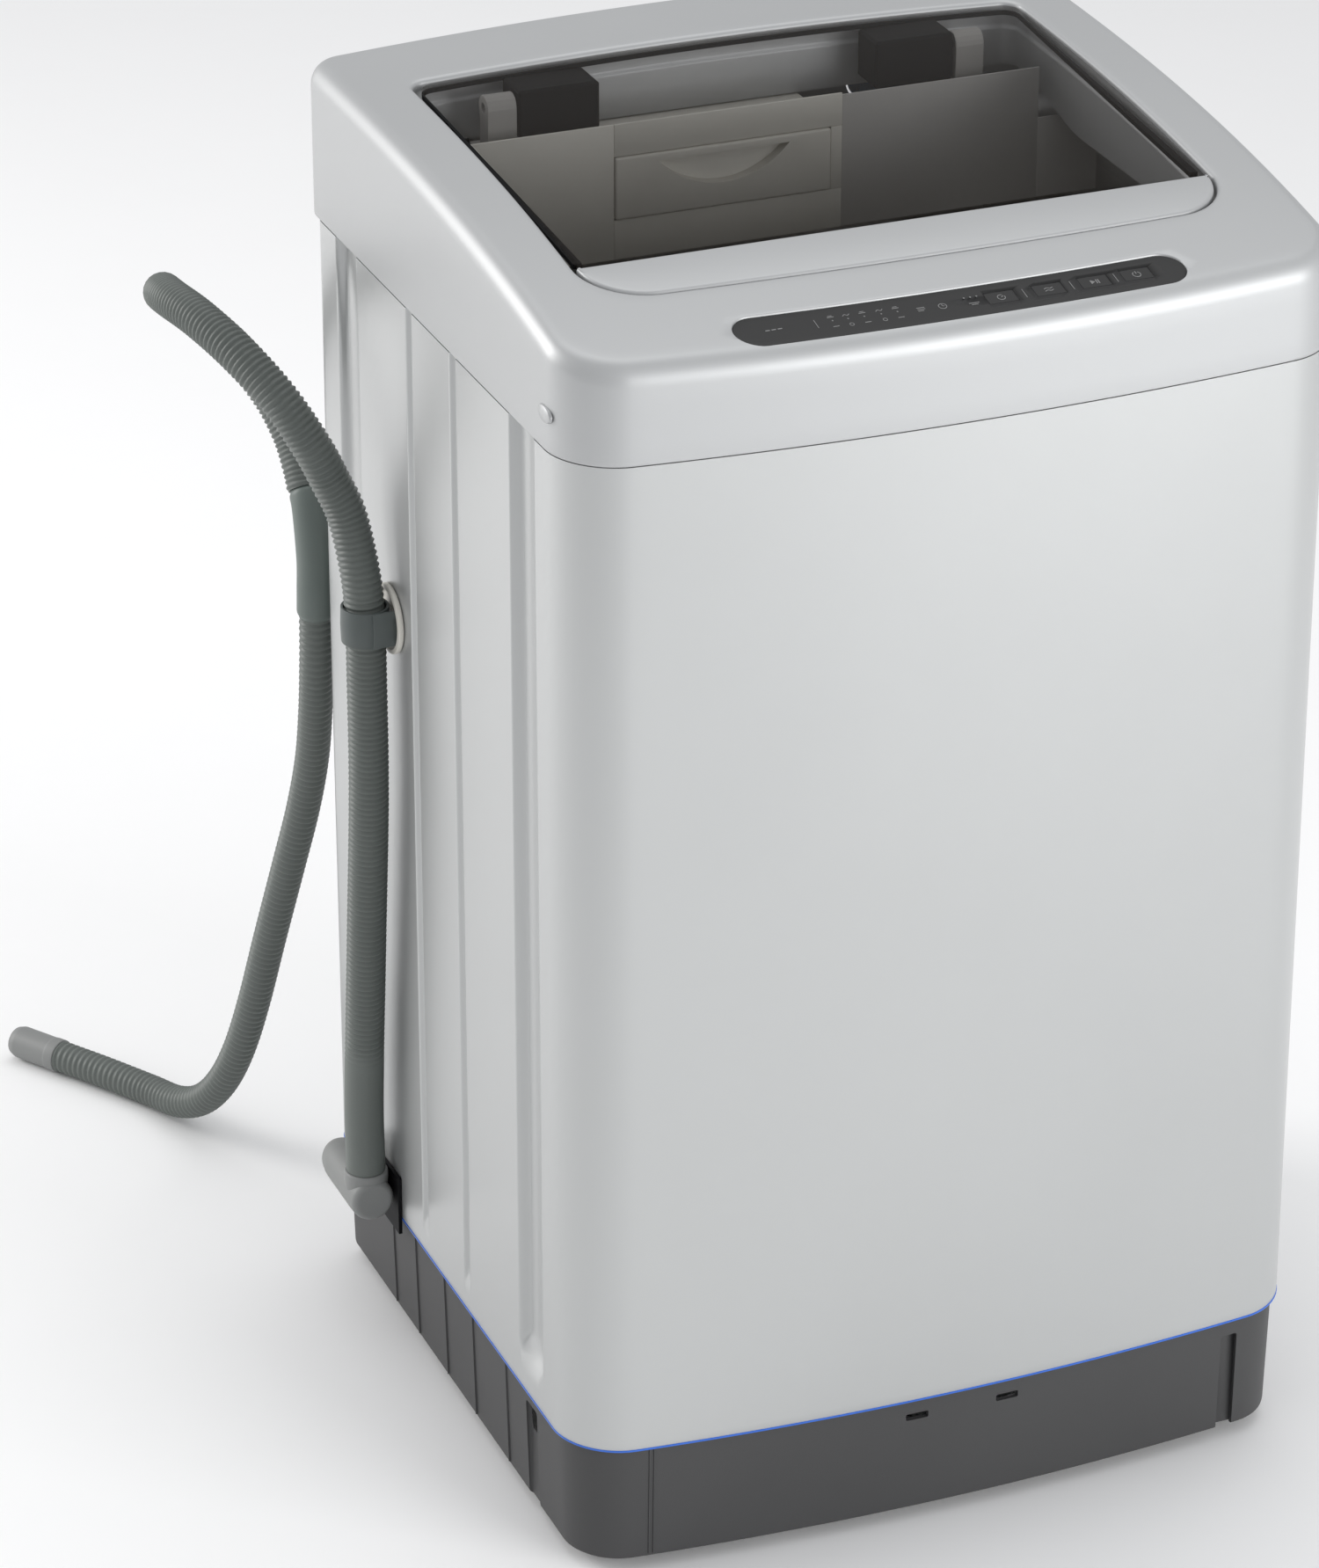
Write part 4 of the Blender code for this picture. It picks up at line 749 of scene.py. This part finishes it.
def control_strip():
    bm = bmesh.new()
    skin(bm, [on_deck(pill_outline(grow), drop) for grow, drop in
              ((0.0, 0.0043), (0.0, 0.0012), (-0.0003, 0.0009), (-0.0010, 0.0008),
               (-0.0050, 0.0008), (-0.0100, 0.0008))], caps=True)
    ob = make("strip_lens", bm, "panel", replaces=["control_panel"], angle=30)
    holes = bmesh.new()
    for x in KEY_X.values():
        y = pill_y(x)
        slope = math.atan2(deck_z(x, y + 0.01) - deck_z(x, y - 0.01), 0.02)
        turn = Matrix.Translation((x, y, deck_z(x, y))) @ Matrix.Rotation(slope, 4, "X")
        add_box(holes, (-0.01006, -0.00606, -0.03), (0.01006, 0.00606, 0.03), turn=turn)
    carve(ob, holes)
    fixed = bmesh.new()
    for x in (-0.0970, 0.0395, 0.0715, 0.1015):
        mark(fixed, x, 0, bars(0.45, (0, -4.2, 0, 4.2)))
    dash = bars(0.6, (-2.0, 0, 2.0, 0))
    double = bars(0.6, (-2.2, 0, 2.2, 0)) + bars(0.5, (-1.4, 1.3, 1.4, 1.3))
    wave = bars(0.5, (-2.4, -0.6, -0.8, 0.9), (-0.8, 0.9, 0.8, -0.6), (0.8, -0.6, 2.4, 0.9))
    for i, x in enumerate((-0.0860, -0.0760, -0.0655, -0.0545, -0.0440)):
        mark(fixed, x, 0.0048, wave if i % 2 else double)
        mark(fixed, x, 0.0012, [circle(0.55, 10)])
        mark(fixed, x, -0.0048, ring_marks(1.1, 0.45) if i % 2 else dash)
    mark(fixed, -0.0290, 0.0, bars(0.55, (-2.6, 1.6, 2.6, 1.6), (-2.6, 0, 2.6, 0),
                                   (-2.6, -1.6, 1.2, -1.6)))
    mark(fixed, -0.0150, 0.0, ring_marks(2.3, 0.5, 40, 400) + bars(0.45, (0, 0, 0, 1.9),
                                                                   (0, 0, 1.3, 0)))
    for k in range(3):
        mark(fixed, 0.0010 + 0.0042 * k, 0.0046, [circle(0.6, 10)])
    mark(fixed, 0.0052, -0.0015, bars(0.6, (-3.4, 0, 3.4, 0), (-2.2, -1.6, 2.2, -1.6)))
    mark(fixed, -0.1240, 0.0, bars(0.9, (-5.4, 0, -2.6, 0), (-1.4, 0, 1.4, 0), (2.6, 0, 5.4, 0)))
    make("strip_marks", fixed, "icon", angle=20)
    play = [(-2.6, -2.0), (0.4, 0), (-2.6, 2.0)]
    icons = {
        "programme_key": ring_marks(2.2, 0.5, 60, 380) + bars(0.5, (0, 0, 1.6, 1.2)),
        "water_key": bars(0.5, (-3.0, 0.9, -1.0, 1.9), (-1.0, 1.9, 1.0, 0.9), (1.0, 0.9, 3.0, 1.9),
                          (-3.0, -1.4, -1.0, -0.4), (-1.0, -0.4, 1.0, -1.4),
                          (1.0, -1.4, 3.0, -0.4)),
        "start_key": [play] + bars(0.7, (1.3, -2.0, 1.3, 2.0), (2.7, -2.0, 2.7, 2.0)),
        "power_key": ring_marks(2.3, 0.55, 120, 420) + bars(0.6, (0, 0.6, 0, 3.2)),
    }
    for name, outlines in icons.items():
        icon = bmesh.new()
        mark(icon, KEY_X[name], 0, outlines, drop=0.00090)
        make(name + "_mark", icon, "icon", body=name, angle=20)
        NODES[name].data.materials[0] = M["panel"]


# -------- lid
def joint(x):
    """Y of the line where the window meets the front strip."""
    return STRIP_Y - 0.004 * (1 - (x / WINDOW_HALF) ** 2)


def lid():
    half, r = WINDOW_HALF, WINDOW_R
    corner = [(-half + r * (1 - math.cos(a)), r * (1 - math.sin(a)))
              for a in (math.radians(d) for d in range(0, 91, 15))]
    columns = corner + [(-half + r + 2 * (half - r) * i / 24, 0.0) for i in range(1, 24)]
    columns += [(-x, y) for x, y in reversed(corner)]
    bm = bmesh.new()
    window_loops(bm, columns)
    make("lid_glass", bm, "smoke", "lid", ["lid_window"], angle=30)
    seal = bmesh.new()
    low, high, width, narrow = 0.0033, 0.0065, 0.0055, 0.0012
    left = [(-half, joint(-half) + 0.010)] + [(x, WINDOW_BACK - y) for x, y in corner]
    right = [(-x, y) for x, y in reversed(left)]
    (x0, y0), (x1, _) = left[-1], right[0]
    line = left + [(x0 + (x1 - x0) * i / 20, y0) for i in range(1, 20)] + right
    inner = []
    for i, (x, y) in enumerate(line):
        a, b = line[max(i - 1, 0)], line[min(i + 1, len(line) - 1)]
        n = Vector((b[1] - a[1], -(b[0] - a[0]))).normalized() * (width if y < 0.115 else narrow)
        inner.append((x + n.x, y + n.y))
    rows = skin(seal, [on_deck(line, low), on_deck(inner, low), on_deck(inner, high),
                       on_deck(line, high)], wrap=True, closed=False)
    seal.faces.new([row[0] for row in rows])
    seal.faces.new([row[-1] for row in rows][::-1])
    make("lid_seal", seal, "black", body="lid", angle=40)
    strip = bmesh.new()
    edge, radius = LID_HALF_W - 0.0022, 0.038
    xc, yc = edge - radius, LID_FRONT + 0.0012 + radius
    right = [(xc + radius * math.cos(a), yc - radius * math.sin(a))
             for a in (math.radians(d) for d in range(2, 90, 6))]
    cols = right + [(xc - 2 * xc * i / 30, yc - radius) for i in range(31)]
    cols += [(-x, y) for x, y in reversed(right)]
    cols = sorted((x, y - LID_BOW * (1 - (x / LID_HALF_W) ** 2), joint(x)) for x, y in cols)
    front = [(x, y0) for x, y0, _ in cols]
    back = [(x, y1) for x, _, y1 in cols]
    outline = front + back[::-1]

    def shrink(k, drop):
        """The strip's outline moved inward by k, on the deck's surface less drop."""
        out = []
        n = len(outline)
        for i, (x, y) in enumerate(outline):
            a, b = Vector(outline[(i - 1) % n]), Vector(outline[(i + 1) % n])
            t = b - a
            nrm = Vector((-t.y, t.x)).normalized() if t.length > 1e-9 else Vector((0, 0))
            out.append(Vector((x, y)) + nrm * k)
        return on_deck(out, drop)
    rows = skin(strip, [shrink(k, drop) for k, drop in
                        ((0.0010, 0.0090), (0.0002, 0.0075), (0.0, 0.0022), (0.0004, 0.0009),
                         (0.0012, 0.0002), (0.0022, 0.0))])
    n = len(front)
    for row, flip in ((rows[0], True), (rows[-1], False)):
        for i in range(n - 1):
            a, b, c, d = row[i], row[i + 1], row[-2 - i], row[-1 - i]
            strip.faces.new((a, b, c, d) if not flip else (d, c, b, a))
    make("lid_strip", strip, "deck", "lid", ["lid_front_strip"], angle=35)


def window_loops(bm, columns):
    """Smoked sheet: crowned, with a small bevel all round."""
    def rows_at(inset, drop):
        out = []
        for x, s in columns:
            xx = x * (1 - inset / WINDOW_HALF)
            y0, y1 = joint(x) + 0.0003 + inset, WINDOW_BACK - s - inset
            out.append(on_deck([(xx, y0 + (y1 - y0) * j / 14) for j in range(15)], drop))
        return out
    t, b = [[[bm.verts.new(p) for p in row] for row in grid]
            for grid in (rows_at(0.0007, 0.0), rows_at(0.0, 0.003))]
    for i in range(len(t) - 1):
        for j in range(14):
            bm.faces.new((t[i][j], t[i + 1][j], t[i + 1][j + 1], t[i][j + 1]))
            bm.faces.new((b[i][j], b[i][j + 1], b[i + 1][j + 1], b[i + 1][j]))

    def border(g):
        n = len(g)
        return ([g[i][0] for i in range(n)] + [g[n - 1][j] for j in range(1, 15)]
                + [g[i][14] for i in range(n - 2, -1, -1)] + [g[0][j] for j in range(13, 0, -1)])
    m = [bm.verts.new(p) for p in border(rows_at(0.0, 0.0007))]
    for upper, lower in ((border(t), m), (m, border(b))):
        n = len(upper)
        for i in range(n):
            bm.faces.new((upper[i], lower[i], lower[(i + 1) % n], upper[(i + 1) % n]))


# -------- dispenser and fittings
def dispenser():
    bm = bmesh.new()
    add_box(bm, (-0.0985, 0.1005, 0.7995), (0.0585, 0.2225, 0.8485), 0.001)
    ob = make("drawer_housing", bm, "white", replaces=["detergent_housing"])
    cutter = bmesh.new()
    add_box(cutter, (-0.0965, 0.09, 0.8015), (0.0565, 0.2205, 0.8465), 0.0008)
    carve(ob, cutter)
    fascia = bmesh.new()
    for lo, hi in (((-0.2060, 0.7750), (-0.0960, 0.8680)), ((-0.0960, 0.7750), (0.0640, 0.8023)),
                   ((0.0560, 0.8023), (0.0640, 0.8457)), ((-0.0960, 0.8457), (0.0640, 0.8680))):
        add_box(fascia, (lo[0], 0.1002, lo[1]), (hi[0], 0.1022, hi[1]), 0.0006)
    make("housing_fascia", fascia, "white")
    wall = bmesh.new()
    add_box(wall, (0.0640, 0.1010, 0.7750), (0.2060, 0.1025, 0.8665), 0.0006)
    add_box(wall, (0.2050, 0.1010, 0.7750), (0.2500, 0.1025, 0.8310), 0.0006)
    make("rear_wall", wall, "tub")
    drawer = bmesh.new()
    add_box(drawer, (-0.0955, 0.0985, 0.8028), (0.0555, 0.2150, 0.8452), 0.0015, 3)
    ob = make("drawer", drawer, "white", "drawer", ["detergent_drawer"])
    cutter = bmesh.new()
    add_box(cutter, (-0.0935, 0.1140, 0.8050), (0.0050, 0.2130, 0.86), 0.003, 3)
    add_box(cutter, (0.0070, 0.1140, 0.8050), (0.0535, 0.2130, 0.86), 0.003, 3)
    chord, sag = 0.046, 0.021
    r = (chord ** 2 + sag ** 2) / (2 * sag)
    spread = math.degrees(math.asin(chord / r))
    moon = arc(-0.020, 0.840 + r - sag, r, 270 - spread, 270 + spread, 28)
    skin(cutter, [[(x, y, z) for x, z in moon] for y in (0.09, 0.1085)], caps=True)
    carve(ob, cutter, 30)
    grip = bmesh.new()
    skin(grip, [[(x, y, z) for x, z in moon] for y in (0.1068, 0.1084)], caps=True)
    make("grip_plate", grip, "grip", body="drawer")


def soften(node, look, width):
    """Keep a CAD node, with its edges rounded and a finished material."""
    ob = NODES[node]
    ob.data.materials[0] = M[look]
    weld = ob.modifiers.new("weld", "WELD")
    weld.merge_threshold = 0.00002
    bevel = ob.modifiers.new("bevel", "BEVEL")
    bevel.width, bevel.segments, bevel.limit_method = width, 2, "ANGLE"
    bevel.angle_limit = math.radians(38)
    bevel.harden_normals = False


def fittings():
    for node, look, width in (
            ("lid_hinge_left", "black", 0.0012), ("hinge_post_left", "grey", 0.0010),
            ("lid_hinge_right", "black", 0.0012), ("hinge_post_right", "grey", 0.0010),
            ("lid_switch", "grey", 0.0006), ("control_box", "grey", 0.0006),
            ("pressure_sensor", "black", 0.0006), ("drain_valve", "tub", 0.0012),
            ("outlet_bracket", "black", 0.0005), ("filter_guide", "white", 0.0006),
            ("lint_filter", "mesh", 0.0010), ("motor_plate", "zinc", 0.0006)):
        soften(node, look, width)
    for look, nodes in (
            ("grey", ["inlet_pipe"]), ("rubber", ["drive_belt"]), ("motor", ["motor"]),
            ("tub", ["outer_tub"]), ("cast", ["clutch_gearbox", "drive_pulley"]),
            ("zinc", ["basket_shaft", "pulsator_shaft", "motor_pulley"]
             + ["suspension_rod_" + corner for corner in CORNERS])):
        for node in nodes:
            NODES[node].data.materials[0] = M[look]
    valve = bmesh.new()
    x, z = INLET
    place = along((x, 0.2380, z), (x, 0.1760, z))
    profile = [(0, 0.012), (0.0088, 0.012), (0.0092, 0.0), (0.0118, 0.0)]
    for k in range(9):
        profile += [(r, rise + 0.0026 * k) for r, rise in
                    ((0.0118, 0.0012), (0.0128, 0.0022), (0.0128, 0.0028), (0.0118, 0.0036))]
    profile += [(0.0125, 0.026), (0.017, 0.026), (0.017, 0.031), (0.013, 0.033), (0.013, 0.058),
                (0.011, 0.062), (0, 0.062)]
    turned(valve, profile, 48, place)
    make("water_inlet", valve, "blue", replaces=["inlet_valve"])
    gland = bmesh.new()
    x, z = GLAND
    turned(gland, soft([(0.0036, 0), (0.0070, 0), (0.0080, 0.0006), (0.0080, 0.010),
                        (0.0105, 0.010), (0.0105, 0.013), (0.0060, 0.020), (0.0036, 0.020)], 0.0005,
                       2, True), 32, along((x, 0.2382, z), (x, 0.2182, z)))
    make("mains_gland", gland, "black", replaces=["cord_gland"])


# -------- tub, basket, pulsator
def tub():
    bm = bmesh.new()
    turned(bm, soft([(0.166, 0.7425), (0.166, 0.7560), (0.170, 0.7560), (0.172, 0.7470),
                     (0.2245, 0.7440), (0.2245, 0.7395), (0.180, 0.7395)], 0.0015, 4, True), 128)
    make("tub_ring", bm, "tub", "tub", ["tub_cover"], at=AT_TUB)
    ring = bmesh.new()
    turned(ring, soft([(0.179, 0.7000), (0.202, 0.7000), (0.2035, 0.704), (0.2035, 0.726),
                       (0.198, 0.734), (0.184, 0.734), (0.177, 0.725)], 0.003, 5, True), 128)
    make("balance_band", ring, "white", "basket", ["balance_ring"], at=AT_TUB)
    basket()
    pulsator()
    turns, per = 9, 18
    ring = circle(0.0105, per)
    coil = [Vector((*ring[i % per], 0.1725 + 0.087 * i / (turns * per)))
            for i in range(turns * per + 1)]
    for corner, (x, y) in CORNERS.items():
        bm = bmesh.new()
        tube_along(bm, coil, lambda run: 0.0014, 8)
        ob = make("spring_" + corner, bm, "zinc", replaces=["suspension_spring_" + corner],
                  at=(x, y, 0))
        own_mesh(ob)
    bm = bmesh.new()
    rings = [(0, 0.1483), (0.0125, 0.1483)]
    for k in range(6):
        rings += [(r, 0.151 + 0.0077 * k + rise) for r, rise in
                  ((0.0125, 0), (0.0122, 0.0012), (0.0096, 0.0030), (0.0096, 0.0042),
                   (0.0122, 0.0060))]
    rings += [(0.0125, 0.1990), (0, 0.1990)]
    turned(bm, rings, 32)
    ob = make("bellows", bm, "rubber", replaces=["drain_bellows"], at=(-0.1415, 0.118, 0))
    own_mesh(ob)


def basket():
    """Perforated drum with soft vertical flutes, on a flat bottom."""
    cells, rows_n = 96, 34
    r0, z0, z1 = 0.1990, 0.246, 0.6990

    def point(u, z):
        a = 2 * math.pi * u / cells
        flute = 0.0011 * math.cos(a * 12) * ease((z - z0) / 0.03) * ease((z1 - z) / 0.03)
        r = r0 - 0.0012 + flute
        return Vector((r * math.cos(a), r * math.sin(a), z))
    bm = bmesh.new()
    step = (z1 - z0) / rows_n
    grid = {}

    def vert(u, v):
        key = (round(u * 8) % (cells * 8), round(v * 8))
        if key not in grid:
            grid[key] = bm.verts.new(point(u, z0 + step * v))
        return grid[key]
    for i in range(cells):
        for j in range(rows_n):
            rim = [vert(i + a, j + b) for a, b in
                   ((0, 0), (0.5, 0), (1, 0), (1, 0.5), (1, 1), (0.5, 1), (0, 1), (0, 0.5))]
            if (i + j) % 2 or i % 8 in (0, 7):
                bm.faces.new(rim)
                continue
            hole = []
            for k in range(8):
                a = math.radians(225 + 45 * k)
                u, v = i + 0.5 + 0.13 * math.cos(a), j + 0.5 + 0.13 * math.sin(a)
                hole.append(bm.verts.new(point(u, z0 + step * v)))
            for k in range(8):
                bm.faces.new((rim[k], rim[(k + 1) % 8], hole[(k + 1) % 8], hole[k]))
    wall = make("basket_wall", bm, "steel", "basket", ["wash_basket"], 60, AT_TUB)
    sheet = wall.modifiers.new("solidify", "SOLIDIFY")
    sheet.thickness, sheet.offset = 0.0007, 0.0
    floor = bmesh.new()
    turned(floor, soft([(0.0145, 0.222), (0.184, 0.222), (0.1970, 0.231), (0.1990, 0.2460),
                        (0.1978, 0.2465), (0.1955, 0.232), (0.183, 0.2238), (0.0145, 0.2238)],
                       0.003, 4, True), 96)
    make("basket_floor", floor, "steel", body="basket", at=AT_TUB)


def pulsator():
    """Disc with five swept vanes and a raised hub."""
    sides, radii = 150, [0.004 + 0.163 * i / 26 for i in range(27)]

    def height(r, a):
        dish = 0.2500 + 0.006 * ease((r - 0.08) / 0.08) + 0.040 * ease((0.062 - r) / 0.055)
        swept = a + 2.2 * (r - 0.03)
        vane = max(0.0, math.cos(5 * swept)) ** 3 * ease((r - 0.020) / 0.03)
        return dish + 0.017 * (vane * ease((0.160 - r) / 0.035))
    loops = [[(x, y, height(r, 2 * math.pi * k / sides)) for k,
              (x, y) in enumerate(circle(r, sides))]
             for r in radii]
    loops += [flat(circle(r, sides), z) for r, z in
              ((0.1670, 0.2500), (0.163, 0.243), (0.030, 0.240), (0.030, 0.2295), (0.0085, 0.2295))]
    bm = bmesh.new()
    skin(bm, loops, caps=True)
    make("pulsator_disc", bm, "white", "pulsator", ["pulsator"], at=AT_TUB, angle=50)
    cap = bmesh.new()
    turned(cap, soft([(0, 0.284), (0.0165, 0.284), (0.0165, 0.2915), (0.010, 0.2945), (0, 0.2950)],
                     0.002, 4), 48)
    make("pulsator_cap", cap, "blue", body="pulsator", at=AT_TUB)


# -------- studio
def studio():
    bm = bmesh.new()
    bmesh.ops.create_circle(bm, cap_ends=True, radius=30, segments=96)
    mesh = bpy.data.meshes.new("floor")
    bm.to_mesh(mesh)
    bm.free()
    floor = bpy.data.objects.new("floor", mesh)
    bpy.context.collection.objects.link(floor)
    mesh.materials.append(material("floor_paper", (0.94, 0.94, 0.94), 0.9, spread=0.004, grain=30,
                                   bump=0.0, specular=0.1))
    world = bpy.data.worlds.new("world")
    world.use_nodes = True
    sky = world.node_tree.nodes["Background"]
    sky.inputs["Color"].default_value = (0.97, 0.98, 1.0, 1)
    sky.inputs["Strength"].default_value = 0.60
    bpy.context.scene.world = world

    def softbox(name, where, aim, size, power, colour=(1, 1, 1)):
        data = bpy.data.lights.new(name, "AREA")
        data.shape, data.size, data.size_y = "RECTANGLE", size[0], size[1]
        data.energy, data.color = power, colour
        light = bpy.data.objects.new(name, data)
        bpy.context.collection.objects.link(light)
        light.location = where
        light.rotation_mode = "QUATERNION"
        light.rotation_quaternion = (Vector(aim) - Vector(where)).to_track_quat("-Z", "Y")
    softbox("front_box", (2.0, -3.6, 1.25), (0, -0.5, 0.35), (2.6, 1.8), 104)
    softbox("left_box", (-2.9, 2.3, 1.7), (-0.2, 0, 0.5), (1.6, 2.2), 76, (1.0, 0.985, 0.97))
    softbox("top_box", (0.2, 0.8, 3.6), (0, 0, 0.6), (3.4, 2.6), 30)


def main():
    bpy.context.scene.view_settings.view_transform = "Standard"
    camera()
    drain_line()
    outlet()
    cabinet()
    rear_cover()
    base()
    feet()
    deck()
    control_strip()
    lid()
    dispenser()
    fittings()
    tub()
    studio()


main()
bpy.context.view_layer.update()
